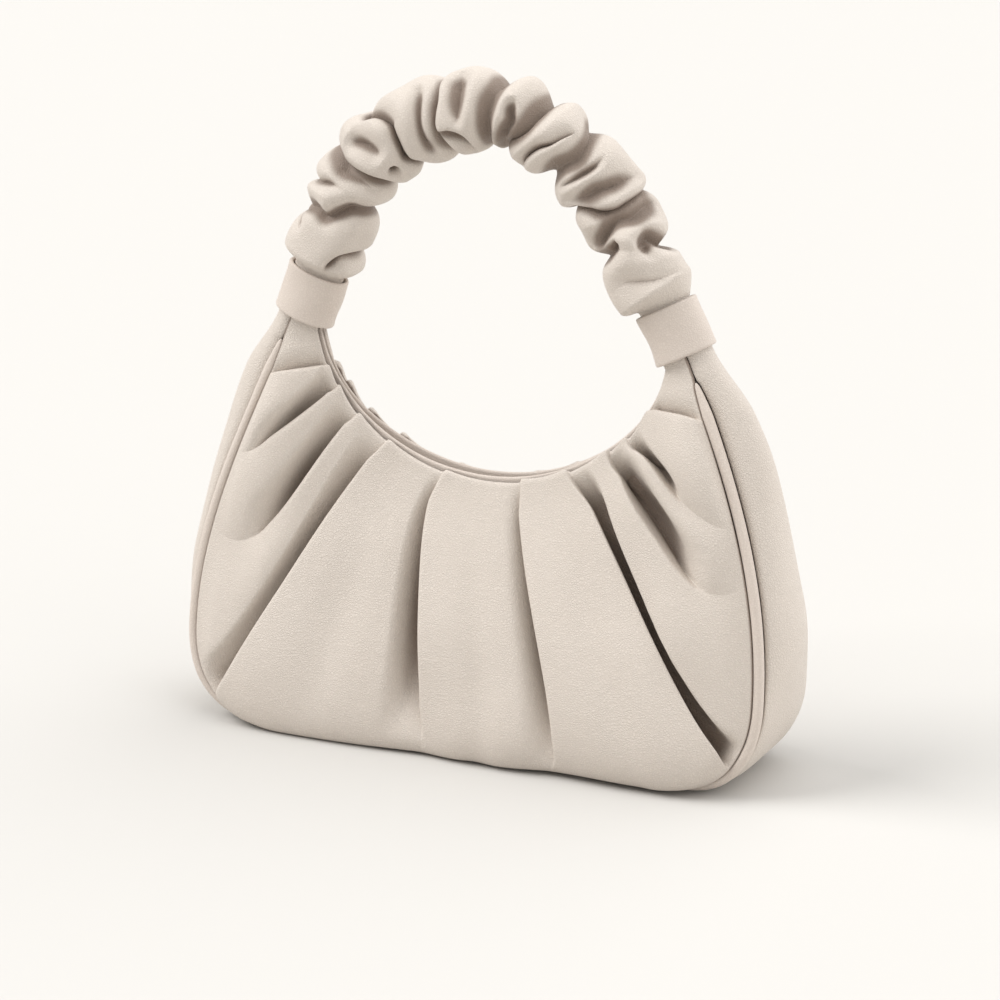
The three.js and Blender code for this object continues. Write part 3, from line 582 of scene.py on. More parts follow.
def mesh_piece(name, points, faces, **fields):
    """A smooth mesh object from points and faces, with fields stored as attributes of its points."""
    mesh = bpy.data.meshes.new(name)
    mesh.from_pydata(np.asarray(points, float).reshape(-1, 3).tolist(), [], faces.tolist())
    for field, values in fields.items():
        numbers = np.ravel(values).astype(np.float32)
        mesh.attributes.new(field, "FLOAT", "POINT").data.foreach_set("value", numbers)
    mesh.shade_smooth()
    piece = bpy.data.objects.new(name, mesh)
    bpy.context.scene.collection.objects.link(piece)
    return piece


def grid_faces(rows, columns, first=0, flip=False, closed=False):
    """Quads of a grid of points that are listed row by row."""
    r, c = np.meshgrid(np.arange(rows - 1), np.arange(columns if closed else columns - 1), indexing="ij")
    after = (c + 1) % columns
    corners = [r * columns + c, r * columns + after, (r + 1) * columns + after, (r + 1) * columns + c]
    if flip:
        corners.reverse()
    return np.stack(corners, axis=-1).reshape(-1, 4) + first


def wall_faces(rows, columns):
    """Quads of a closed wall: an outer grid, an inner one behind it, and the rim between them."""
    count = rows * columns
    edge = np.concatenate([
        np.arange(columns - 1),
        np.arange(rows - 1) * columns + columns - 1,
        count - 1 - np.arange(columns - 1),
        np.arange(rows - 1, 0, -1) * columns,
    ])
    after = np.roll(edge, -1)
    rim = np.stack([edge, edge + count, after + count, after], axis=-1)
    return np.vstack([grid_faces(rows, columns), grid_faces(rows, columns, count, flip=True), rim])


def outward_faces(points, faces):
    """The faces, turned round where they would enclose a negative volume."""
    a, b, c, d = (points[faces[:, i]] for i in range(4))
    volume = np.einsum("ij,ij->i", a, np.cross(b, c) + np.cross(c, d)).sum()
    return faces if volume > 0 else faces[:, ::-1]


def edge_drop(distance, radius=EDGE_ROUND):
    """How far a rounded edge has fallen at a distance from it."""
    left = 1 - np.clip(distance / radius, 0, 1)
    return radius * (1 - np.sqrt(np.maximum(0, 1 - left**2)))


def seam_shade(distance):
    """Painted shade on the leather close to a seam, where it turns down into the stitching."""
    return 1 - smoothstep(distance, *SEAM_SHADE)


def finish_piece(piece, slot, material, *nodes):
    piece.data.materials.append(material)
    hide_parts(*nodes)
    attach(piece, "root")


def wall_piece(name, outer, inner, recess, inner_recess, side="front"):
    """A closed wall between two grids of points, mirrored for the back, with a painted shade value for the
    outer and for the inner grid.
    """
    points = np.concatenate([outer, inner]).reshape(-1, 3)
    if side == "back":
        points = points * [1, -1, 1]
    faces = outward_faces(points, wall_faces(*outer.shape[:2]))
    fields = [np.broadcast_to(value, outer.shape[:2]) for value in (recess, inner_recess)]
    return mesh_piece(name, points, faces, recess=np.concatenate(fields))


# Nodes

def fill(tree, node, inputs):
    """Link each named input to a socket, or set it to a value."""
    for key, value in inputs.items():
        if isinstance(value, bpy.types.NodeSocket):
            tree.links.new(value, node.inputs[key])
        else:
            node.inputs[key].default_value = value
    return node


def add_node(tree, kind, inputs, **settings):
    node = tree.nodes.new(kind)
    for name, value in settings.items():
        setattr(node, name, value)
    return fill(tree, node, inputs)


def math_node(tree, operation, *values):
    """The result of a math node."""
    return add_node(tree, "ShaderNodeMath", dict(enumerate(values)), operation=operation).outputs[0]


# Panels

FOLD_NOSE = 0.0009
FOLD_LAPS = {1: (0.0020, 0.0014), -1: (0.0046, 0.0022)}
LAP_PER_HEIGHT = 0.35
LIFT_REACH = 0.011
TUCK_REACH = 0.009
TUCK_UNDER = 0.5
TUCK_HEIGHT = 0.0012
TUCK_FADE = 0.07
FINE_REACH = 0.0048
FINE_STEPS = 14
FINE_CROWDING = 1.4
GORE_STEP = 0.0022
PANEL_ROWS = 84
# Depth under the plain panel at which the painted shade in a fold is full
PAINTED_SHADE_DEPTH = 0.0112
GORE_FULLNESS = 0.044
ROW_CROWDING = 0.035
FINE_SHARE = 0.3
LOW_SPAN = 9
PANEL_WAVER = (0.034, 0.00045, 11)


def fold_strength(row, fall):
    """Share of a fold's depth at a fall from the mouth."""
    rise = lerp(row.start, 1, smoothstep(fall, 0, row.peak))
    return rise * (1 - smoothstep(fall, row.peak, row.reach))


def fold_profile(fold, away, fall):
    """Height, sideways move and tuck of the leather beside a fold. away is positive on the piece on top."""
    strength = fold_strength(fold, fall)
    floor = lerp(fold.floor[0], fold.floor[1], fall)
    bank = lerp(fold.bank[0], fold.bank[1], fall)
    over = np.maximum(away, 0)
    round_off = np.sqrt(1 - (1 - np.minimum(over / fold.roll, 1)) ** 2)
    lift = fold.rise * round_off * np.exp(-over / LIFT_REACH)
    dip = fold.sink * (1 - smoothstep(-away, floor, floor + bank)) * smoothstep(fall, *DIP_FADE_IN)
    top = 0.5 * (1 + np.tanh(away / FOLD_NOSE))
    height = strength * (top * lift - (1 - top) * dip)
    step = strength * (fold.rise / 2 + fold.sink * smoothstep(fall, *DIP_FADE_IN))
    lap, reach = FOLD_LAPS[fold.over]
    lap = np.minimum(lap, LAP_PER_HEIGHT * step)
    move = -lap * (away / reach) * np.exp(1 - np.abs(away) / reach)
    tuck = np.exp(-np.abs(away) / TUCK_REACH) * (top - TUCK_UNDER * (1 - top))
    return height, move, tuck


class PanelGrid:
    """The grid of a panel: its lines run from the mouth down to the seam, close together at each fold."""

    def __init__(self, body):
        self.body = body
        edge = body.neck_edge
        rim = [(body.mouth.before(s, edge), body.seam.before(s, edge), 0, 0) for s in (-1, 1)]
        ends = [(-1, -1, 0, 0), (1, 1, 0, 0)]
        places = [ends[0], rim[0], *((f.mouth, f.seam, f.bow, f.hook) for f in FOLDS), rim[1], ends[1]]
        self.places = np.array(places, float)
        rows = np.linspace(0, 1, PANEL_ROWS)
        self.fall = (rows - ROW_CROWDING * np.sin(2 * np.pi * rows))[:, None]
        self.lines = self.line_table()
        self.base, self.across_at, self.fold_at = self.plain_grid()

    def line_table(self):
        """For each line of the grid: its gore, and its share of that gore's fine and coarse parts."""
        fine = (np.linspace(0, 1, FINE_STEPS) ** FINE_CROWDING).tolist()
        table = []
        for gore, (a, b) in enumerate(zip(self.places, self.places[1:])):
            width = (b[1] - a[1]) * float(self.body.seam.half_length(a[1]))
            coarse = max(3, round((width - 2 * FINE_REACH) / GORE_STEP))
            start = [(gore, f, 0) for f in (fine if gore == 0 else fine[1:])]
            middle = [(gore, 1, k / coarse) for k in range(1, coarse + 1)]
            end = [(gore, 2 - f, 1) for f in reversed(fine[:-1])]
            table += start + middle + end
        return np.array(table)

    def plain_grid(self):
        """Points of the plain panel at each row and line, and the place across it of lines and folds."""
        body, fall = self.body, self.fall
        columns = [[np.broadcast_to(value, fall.shape) for value in place] for place in self.places]
        edges = [body.panel_point(*column, fall) for column in columns]
        widths = np.hstack([np.linalg.norm(b - a, axis=-1) for a, b in zip(edges, edges[1:])])
        starts = np.hstack([np.zeros_like(fall), np.cumsum(widths, axis=1)])
        gore = self.lines[:, 0].astype(int)
        width = widths[:, gore]
        fine = np.minimum(FINE_REACH, FINE_SHARE * width)
        from_start = fine * self.lines[:, 1] + (width - 2 * fine) * self.lines[:, 2]
        share = from_start / width
        a, b = self.places[gore], self.places[gore + 1]
        mouth, seam, bow, hook = (lerp(a[:, i], b[:, i], share) for i in range(4))
        self.mouth, self.seam, self.share, self.width = mouth, seam, share, width
        points = body.panel_point(mouth, seam, bow, hook, np.broadcast_to(fall, mouth.shape))
        return points, starts[:, gore] + from_start, starts[:, 2:-2]

    def relief(self):
        """Height over the plain form, sideways move and depth of recess for each point of the grid."""
        body, fall = self.body, self.fall
        height = np.zeros(self.share.shape)
        move = np.zeros(self.share.shape)
        tuck = np.zeros(self.share.shape)
        for i, fold in enumerate(FOLDS):
            away = (self.across_at - self.fold_at[:, [i]]) * fold.over
            h, m, t = fold_profile(fold, away, fall)
            height += h
            move += m * fold.over
            tuck += t
        blends = lerp(self.places[2:-2, 0], self.places[2:-2, 1], fall)
        for hollow in HOLLOWS:
            middle = self.place_across(lerp(hollow.mouth, hollow.seam, fall[:, 0]), blends)
            away = (self.across_at - middle[:, None]) / hollow.width
            height -= hollow.depth * fold_strength(hollow, fall) * np.exp(-away * away)
        full = np.minimum(1, self.width / GORE_FULLNESS)
        crown = body.sizes.gore_crown * full * 4 * self.share * (1 - self.share)
        height += crown * np.sin(np.pi * fall)
        shown = (1 - smoothstep(fall, *RELIEF_FADE_OUT)) * (1 - body.neck_share(self.seam) ** 2)
        tuck *= TUCK_HEIGHT * (1 - smoothstep(fall, 0, TUCK_FADE))
        return height * shown, move * shown, tuck * shown

    def place_across(self, blend, fold_blends):
        """Place across the panel, in each row, of a blend of mouth and seam shares."""
        return np.array([np.interp(b, f, x) for b, f, x in zip(blend, fold_blends, self.fold_at)])

    def surfaces(self):
        """Outer and inner points, and the painted shade of each point, which grows with how deep it lies in a
        fold.
        """
        height, move, tuck = self.relief()
        height += unevenness(self.base, *PANEL_WAVER) * np.sin(np.pi * self.fall)
        down = np.gradient(self.base, axis=0)
        across = unit(np.gradient(self.base, axis=1))
        normal = unit(np.cross(down, across))
        self.base = self.base - unit(down) * tuck[..., None]
        outer = self.base + normal * height[..., None] + across * move[..., None]
        padded = np.pad(height, ((0, 0), (LOW_SPAN, LOW_SPAN)), mode="edge")
        lowest = np.min([padded[:, k : k + height.shape[1]] for k in range(2 * LOW_SPAN + 1)], axis=0)
        inner = self.base + normal * (lowest - PANEL_WALL)[..., None]
        # Painted shade grows with how far each point lies under the plain form
        return outer, inner, normal, np.clip(-height / PAINTED_SHADE_DEPTH, 0, 1)


def build_panel(body, side, material):
    """The pleated leather of one side. The back mirrors the front."""
    grid = PanelGrid(body)
    outer, inner, normal, recess = grid.surfaces()
    from_mouth = np.cumsum(
        np.vstack([np.zeros((1, outer.shape[1])), np.linalg.norm(np.diff(outer, axis=0), axis=-1)]), axis=0
    )
    drop = edge_drop(from_mouth) + edge_drop(from_mouth[-1] - from_mouth)
    outer = outer - normal * drop[..., None]
    # Painted shade beside the seam, added to the painted shade in the folds
    recess = np.maximum(recess, seam_shade(from_mouth[-1] - from_mouth))
    # The inner face is painted fully shaded
    piece = wall_piece(f"{side}_panel_leather", outer, inner, recess, 1, side)
    finish_piece(piece, "panel_leather", material, f"{side}_panel")


# Gusset, piping and mouth bands

GUSSET_STEPS = 520
GUSSET_ACROSS = 44
GUSSET_WAVER = (0.03, 0.0006, 5)
PIPING_SIDES = 20
BAND_STEPS = 360
BAND_ROWS = 18
BAND_EDGE = 0.0006
BAND_WAVER = (0.016, 0.00009, 3)


def build_gusset(body, material):
    """The long strip under the bag and up both sides, soft between its two seams."""
    share = np.linspace(-1, 1, GUSSET_STEPS)[:, None]
    turn = np.linspace(0, np.pi, GUSSET_ACROSS)
    across = (0.5 - 0.5 * np.cos(turn))[None, :]
    share, across = np.broadcast_arrays(share, across)
    outer = body.gusset_point(share, across)
    normal = unit(np.cross(np.gradient(outer, axis=1), np.gradient(outer, axis=0)))
    soft = np.sin(np.pi * across) * body.side_share(share) * (1 - body.neck_share(share))
    outer = outer + normal * (unevenness(outer, *GUSSET_WAVER) * soft)[..., None]
    inner = outer - normal * GUSSET_WALL
    width = np.linalg.norm(outer[:, -1] - outer[:, 0], axis=-1)[:, None]
    drop = edge_drop(width * across) + edge_drop(width * (1 - across))
    outer = outer - normal * drop[..., None]
    # The inner face is painted fully shaded
    piece = wall_piece("gusset_leather", outer, inner, 0, 1)
    finish_piece(piece, "panel_leather", material, "gusset")


def piping_nodes(material):
    """A tube along a curve whose radius follows the curve's own radius. Its inputs are Diameter and Sides."""
    tree = bpy.data.node_groups.new("Piping Tube", "GeometryNodeTree")
    tree.interface.new_socket("Geometry", in_out="INPUT", socket_type="NodeSocketGeometry")
    diameter = tree.interface.new_socket("Diameter", in_out="INPUT", socket_type="NodeSocketFloat")
    diameter.subtype = "DISTANCE"
    sides = tree.interface.new_socket("Sides", in_out="INPUT", socket_type="NodeSocketInt")
    sides.default_value = PIPING_SIDES
    tree.interface.new_socket("Geometry", in_out="OUTPUT", socket_type="NodeSocketGeometry")
    start = tree.nodes.new("NodeGroupInput")
    line, across, count = (start.outputs[i] for i in range(3))
    circle = {"Radius": math_node(tree, "MULTIPLY", across, 0.5), "Resolution": count}
    profile = add_node(tree, "GeometryNodeCurvePrimitiveCircle", circle).outputs["Curve"]
    swept = {"Curve": line, "Profile Curve": profile, "Fill Caps": True}
    sweep = add_node(tree, "GeometryNodeCurveToMesh", swept)
    scale = sweep.inputs.get("Scale")
    if scale is not None:
        tree.links.new(tree.nodes.new("GeometryNodeInputRadius").outputs["Radius"], scale)
    tube = add_node(tree, "GeometryNodeRealizeInstances", {"Geometry": sweep.outputs["Mesh"]}).outputs[0]
    finish = add_node(tree, "GeometryNodeSetMaterial", {"Geometry": tube, "Material": material})
    add_node(tree, "NodeGroupOutput", {"Geometry": finish.outputs["Geometry"]})
    return tree


def build_piping(body, side, material, tree):
    """The cord of one seam, which comes to a leaf-shaped tip below each collar."""
    ends = [body.seam.before(s, NECK_INSERT + PIPING_SHORT) for s in (-1, 1)]
    share = np.linspace(*ends, SEAM_STEPS)
    sign = -1 if side == "front" else 1
    points = to_space(body.seam.at(share), sign * body.seam_half_depth(share))
    diameter = body.sizes.piping_diameter
    radius = body.piping_radius(share) / (diameter / 2)
    curve = bpy.data.curves.new(f"{side}_piping_line", "CURVE")
    curve.dimensions = "3D"
    spline = curve.splines.new("POLY")
    spline.points.add(len(points) - 1)
    spline.points.foreach_set("co", np.hstack([points, np.ones((len(points), 1))]).ravel())
    spline.points.foreach_set("radius", radius)
    line = bpy.data.objects.new(curve.name, curve)
    bpy.context.scene.collection.objects.link(line)
    modifier = line.modifiers.new("Piping", "NODES")
    modifier.node_group = tree
    sockets = {s.name: s.identifier for s in tree.interface.items_tree if s.in_out == "INPUT"}
    modifier[sockets["Diameter"]] = diameter
    modifier[sockets["Sides"]] = PIPING_SIDES
    depsgraph = bpy.context.evaluated_depsgraph_get()
    depsgraph.update()
    mesh = bpy.data.meshes.new_from_object(line.evaluated_get(depsgraph))
    mesh.name = f"{side}_piping_leather"
    mesh.shade_smooth()
    piece = bpy.data.objects.new(mesh.name, mesh)
    bpy.context.scene.collection.objects.link(piece)
    bpy.data.objects.remove(line)
    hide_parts(f"{side}_piping")
    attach(piece, "root")


def build_mouth_band(body, side, material):
    """The folded strip inside one edge of the mouth, standing a little above the panel."""
    share = np.linspace(-1, 1, BAND_STEPS)[:, None]
    slimmer = smoothstep(np.abs(share), *BAND_SLIMMING)
    rise = lerp(body.sizes.band_rise, NECK_BAND_RISE, slimmer)
    drop = -lerp(body.sizes.band_drop, NECK_BAND_DROP, slimmer)
    down = np.linspace(0, 1, BAND_ROWS)[None, :]
    height = lerp(rise, drop, down)
    share, height = np.broadcast_arrays(share, height)
    depth = body.mouth_half_depth(share) - PANEL_WALL - GAP
    place = body.mouth.at(share) - body.mouth.outward(share) * height[..., None]
    waver = unevenness(to_space(place, 0), *BAND_WAVER)
    rounding = edge_drop(rise - height, BAND_EDGE)
    outer = to_space(place, -depth + rounding + waver)
    inner = to_space(place, -depth + BAND_WALL - rounding + waver)
    piece = wall_piece(f"{side}_mouth_band_leather", outer, inner, 0, 0, side)
    finish_piece(piece, "trim_leather", material, f"{side}_mouth_band")


# Collars

COLLAR_ROUND = 120
COLLAR_ROWS = 26
COLLAR_EDGE = 0.00085
COLLAR_SLACK = 0.0004
COLLAR_WAVER = (0.016, 0.00035, 21)


def build_collar(body, side, material):
    """The oval leather ring of one side, with rounded rims and a slightly slack wall."""
    sizes = body.sizes
    angle = np.linspace(0, 2 * np.pi, COLLAR_ROUND, endpoint=False)[:, None]
    length = sizes.collar_length
    half = np.linspace(0, 1, COLLAR_ROWS)
    up = np.concatenate([half, half[::-1]])[None, :]
    is_outer = np.repeat([1, 0], COLLAR_ROWS)[None, :]
    height = length * (0.5 - 0.5 * np.cos(np.pi * up))
    to_rim = np.minimum(height, length - height)
    rounding = edge_drop(to_rim, COLLAR_EDGE)
    inset = np.where(is_outer > 0, rounding, COLLAR_WALL - rounding)
    slack = np.sin(np.pi * height / length) * is_outer
    width = sizes.collar_width / 2 - inset
    depth = sizes.collar_depth / 2 - inset
    local = np.broadcast_arrays(width * np.cos(angle), -depth * np.sin(angle), height)
    local = np.stack(local, axis=-1)
    dent = unevenness(local + side, *COLLAR_WAVER) - COLLAR_SLACK
    out = unit(local * [1, 1, 0])
    local = local + out * (slack * dent)[..., None]
    foot, way = body.on_collar(side, 0, 0), unit(body.on_collar(side, 1, 0) - body.on_collar(side, 0, 0))
    across = np.array([way[1], -way[0]])
    flat = foot + local[..., [2]] * way + local[..., [0]] * across
    points = to_space(flat, local[..., 1]).reshape(-1, 3)
    rows, columns = local.shape[:2]
    ring = grid_faces(columns, rows, closed=True)
    order = (ring % rows) * columns + ring // rows
    join = np.stack([np.arange(rows) * columns, np.roll(np.arange(rows), -1) * columns], axis=-1)
    last = join + columns - 1
    faces = np.vstack([order, np.stack([join[:, 0], last[:, 0], last[:, 1], join[:, 1]], axis=-1)])
    faces = outward_faces(points, faces)
    name = "left_collar" if side < 0 else "right_collar"
    piece = mesh_piece(f"{name}_leather", points, faces, recess=np.zeros(len(points)))
    finish_piece(piece, "trim_leather", material, name)


# Handle

HANDLE_RINGS = 640
HANDLE_SIDES = 140
SLEEVE_FINENESS = 2
FINE_WITHIN = 0.0030
BORE_RINGS = 24
BORE_INSET = 0.0102
DEEPEST_SINK = 0.0088
SINK_POWER = 6
SKIN_INSET = 0.0012
LOBE_REACH = 0.0095
LOBE_SINK = 0.0012
CREASE_SCALE = 1.25
VALLEY_WIDTHS = {0: 0.66, 1: 0.95, -1: 0.95}
VALLEY_POWER = 1.3
ROLL_REACH = 1.1
CREASE_LAP = 0.0014
LAP_REACH = 0.0011
# Sink under the plain sleeve over which the painted shade grows from none to full
HANDLE_PAINTED_SHADE = (0.0019, 0.0064)
# Painted shade line along a crease: its reach under a lip and elsewhere, and the crease depth at which it is
# full
LINE_SHADE = (0.0030, 0.0012)
LINE_DEPTH = 0.0055
SMOOTHING_PASSES = 60
BLEND_POWER = 3
CREASE_STEPS = 14
CREASE_SPREAD = 4
END_SLACK = 0.001
SLEEVE_WAVER = (0.011, 0.0005, 8)


def smoothed(field):
    """A field on the rings of a tube, averaged with its neighbours round the tube."""
    for _ in range(SMOOTHING_PASSES):
        field = (np.roll(field, 1, axis=1) + 2 * field + np.roll(field, -1, axis=1)) / 4
    return field


class Sleeve:
    """The gathered sleeve as a surface over share of length along it and angle round it."""

    def __init__(self, body):
        self.body = body
        line = body.handle_line()
        along = np.concatenate([[0], np.cumsum(np.hypot(*np.diff(line, axis=0).T))])
        self.length = along[-1]
        self.line, self.along = line, along
        self.tangents = unit(np.gradient(line, along, axis=0))
        self.mean_radius = (body.sizes.sleeve_width + body.sizes.sleeve_depth) / 4

    def centre(self, distance):
        """Point and tangent of the centre line in the front view at a distance along it."""
        pick = lambda table: np.stack([np.interp(distance, self.along, table[:, i]) for i in (0, 1)], axis=-1)
        return pick(self.line), unit(pick(self.tangents))

    def flare(self, distance):
        to_end = np.minimum(distance, self.length - distance)
        return smoothstep(to_end, SLEEVE_INSERT + GAP, SLEEVE_INSERT + GAP + SLEEVE_FLARE)

    def half_axes(self, distance):
        full = np.array([self.body.sizes.sleeve_width, self.body.sizes.sleeve_depth]) / 2
        return lerp(self.body.neck_half, full, self.flare(distance)[..., None])

    def place(self, distance, angle, out):
        """Points at a distance along, an angle round, and a height over the plain sleeve."""
        point, tangent = self.centre(distance)
        inward = np.stack([tangent[..., 1], -tangent[..., 0]], axis=-1)
        axes = self.half_axes(distance)
        flat = point + inward * ((axes[..., 0] + out) * np.cos(angle))[..., None]
        return to_space(flat, -(axes[..., 1] + out) * np.sin(angle))

    def crease_field(self, crease, distance, angle):
        """Depth, side move, closeness and painted shade line of one crease at points of the sleeve."""
        path = np.array(crease.path)
        knots = np.stack([
            path[:, 0] * self.length, np.radians(path[:, 1]) * self.mean_radius, path[:, 2] * self.mean_radius
        ], axis=-1)
        curve = smooth_curve(knots, CREASE_STEPS)
        line, share = curve[:, :2], np.clip(curve[:, 2] / self.mean_radius, 0, 1)
        middle = np.radians((path[0, 1] + path[-1, 1]) / 2)
        wrapped = middle + (angle - middle + np.pi) % (2 * np.pi) - np.pi
        spread = CREASE_SPREAD * crease.width + LOBE_REACH
        near = (distance > line[:, 0].min() - spread) & (distance < line[:, 0].max() + spread)
        depth, move, close = (np.zeros(distance.shape) for _ in range(3))
        at = np.stack([distance[near], wrapped[near] * self.mean_radius], axis=-1)
        gaps = np.linalg.norm(at[:, None, :] - line[None, :, :], axis=-1)
        nearest = gaps.argmin(axis=1)
        ways = unit(np.gradient(line, axis=0))[nearest]
        off = at - line[nearest]
        away = off[:, 0] * ways[:, 1] - off[:, 1] * ways[:, 0]
        away *= np.sign(path[-1, 1] - path[0, 1])
        past = np.abs((off * ways).sum(axis=-1))
        held = share[nearest] * np.exp(-np.maximum(0, past - END_SLACK) / crease.width)
        side = away * (crease.lip or 1)
        size = np.abs(side)
        valley = np.exp(-((size / (VALLEY_WIDTHS[crease.lip] * crease.width)) ** VALLEY_POWER))
        roll = 1 - self.round_rise(size / (ROLL_REACH * crease.width))
        fold = np.where(side > 0, roll, valley) if crease.lip else valley
        lobe = 1 - self.round_rise(size / LOBE_REACH)
        depth[near] = held * (CREASE_SCALE * crease.depth * fold + LOBE_SINK * lobe)
        lap = min(CREASE_LAP, LAP_PER_HEIGHT * crease.depth) * abs(crease.lip)
        move[near] = -lap * held * (side / LAP_REACH) * np.exp(1 - size / LAP_REACH) * (crease.lip or 1)
        close[near] = held * np.exp(-((away / FINE_WITHIN) ** 2))
        # Painted shade line along the crease, wider on the side under a lip
        blur = np.where(side < 0, *LINE_SHADE) if crease.lip else LINE_SHADE[1] * np.ones(side.shape)
        shade = np.zeros(distance.shape)
        shade[near] = held * min(1, crease.depth / LINE_DEPTH) * np.exp(-((side / blur) ** 2))
        return depth, move, close, shade

    @staticmethod
    def round_rise(share):
        """A quarter circle that rises steeply from 0 and is level from 1 on."""
        share = np.clip(share, 0, 1)
        return np.sqrt(share * (2 - share))

    def creased(self, distance, angle):
        """Depth, side move, closeness and painted shade line of all creases at points of the sleeve."""
        depth, move, close, shade = (np.zeros(distance.shape) for _ in range(4))
        for crease in CREASES:
            d, m, c, s = self.crease_field(crease, distance, angle)
            depth += d**BLEND_POWER
            move += m
            close = np.maximum(close, c)
            shade = np.maximum(shade, s)
        return depth ** (1 / BLEND_POWER), np.clip(move, -CREASE_LAP, CREASE_LAP), close, shade

    def crowded(self, distance, angle):
        """Distances along the sleeve, moved so that they crowd at the creases."""
        density = 1 + SLEEVE_FINENESS * smoothed(self.creased(distance, angle)[2])
        filled = np.cumsum((density[1:] + density[:-1]) / 2 * np.diff(distance, axis=0), axis=0)
        filled = np.vstack([np.zeros(filled.shape[1]), filled])
        columns = []
        for column in range(distance.shape[1]):
            wanted = np.linspace(0, filled[-1, column], distance.shape[0])
            columns.append(np.interp(wanted, filled[:, column], distance[:, column]))
        return np.stack(columns, axis=-1)

    def skin(self, rings, sides):
        """Points of the gathered outside and their painted shade, from how far each lies under the plain
        sleeve and from the painted shade lines of the creases.
        """
        distance, angle = self.grid(rings, sides)
        distance = self.crowded(distance, angle)
        depth, move, close, shade = self.creased(distance, angle)
        depth = depth / (1 + (depth / DEEPEST_SINK) ** SINK_POWER) ** (1 / SINK_POWER)
        flare = self.flare(distance)
        plain = self.place(distance, angle, 0 * distance)
        out = (unevenness(plain, *SLEEVE_WAVER) - SKIN_INSET - depth) * flare
        # Painted shade from the sink and from the crease lines
        recess = np.maximum(smoothstep(-out, *HANDLE_PAINTED_SHADE), shade)
        return self.place(distance + move * flare, angle, out), recess

    def grid(self, rings, sides):
        """Distances along and angles round for every point of a regular grid on the sleeve."""
        distance = np.linspace(0, self.length, rings)[:, None]
        angle = np.linspace(0, 2 * np.pi, sides, endpoint=False)[None, :]
        return tuple(np.array(values) for values in np.broadcast_arrays(distance, angle))

    def bore(self, rings, sides):
        """Points of the open bore inside the sleeve."""
        distance, angle = self.grid(rings, sides)
        return self.place(distance, angle, -SLEEVE_WALL - BORE_INSET * self.flare(distance))


def build_handle(body, material):
    """The thick gathered sleeve of the handle, open through its middle."""
    sleeve = Sleeve(body)
    points, recess = sleeve.skin(HANDLE_RINGS, HANDLE_SIDES)
    rings, sides = HANDLE_RINGS, HANDLE_SIDES
    bore = sleeve.bore(BORE_RINGS, sides)
    everything = np.concatenate([points.reshape(-1, 3), bore.reshape(-1, 3)])
    first = rings * sides
    step = np.arange(sides)
    after = (step + 1) % sides
    last_outer, last_inner = (rings - 1) * sides, first + (BORE_RINGS - 1) * sides
    ends = np.vstack([
        np.stack([step, step + first, after + first, after], axis=-1),
        np.stack([after + last_outer, after + last_inner, step + last_inner, step + last_outer], axis=-1),
    ])
    faces = np.vstack([
        grid_faces(rings, sides, closed=True),
        grid_faces(BORE_RINGS, sides, first, flip=True, closed=True),
        ends,
    ])
    faces = outward_faces(everything, faces)
    # The bore inside the handle is painted fully shaded
    fields = np.concatenate([recess.ravel(), np.ones(BORE_RINGS * sides)])
    piece = mesh_piece("handle_sleeve_leather", everything, faces, recess=fields)
    finish_piece(piece, "handle_leather", material, "handle_sleeve")


# Leather

WARP_SCALE, WARP_DETAIL, WARP_REACH = 0.7, 2, 0.6
CELL_EDGE = 0.28
SWELL_DETAIL, SWELL_HEIGHT = 3, 1.2
CLOUD_SCALE, CLOUD_DETAIL = 45, 4
MOTTLE_SHARE, MOTTLE_COLOR = 0.10, (0.50, 0.41, 0.33, 1)
PIT_SHARE = 0.1
# Painted shade: the attribute value where it starts, and its largest share of the shade colour
PAINTED_SHADE_START, PAINTED_SHADE_MOST = 0.2, 0.75
ROUGHNESS, CLOUD_ROUGHNESS, PIT_ROUGHNESS = 0.42, 0.14, 0.12
BUMP_STRENGTH = 0.6
SPECULAR, SHEEN, SHEEN_ROUGHNESS = 0.42, 0.08, 0.5


def shader_group(name, inputs, outputs):
    """An empty shader node group with named sockets."""
    group = bpy.data.node_groups.new(name, "ShaderNodeTree")
    for label, kind, value in inputs:
        socket = group.interface.new_socket(label, in_out="INPUT", socket_type=kind)
        socket.default_value = value
    for label, kind in outputs:
        group.interface.new_socket(label, in_out="OUTPUT", socket_type=kind)
    return group, list(group.nodes.new("NodeGroupInput").outputs)[: len(inputs)]


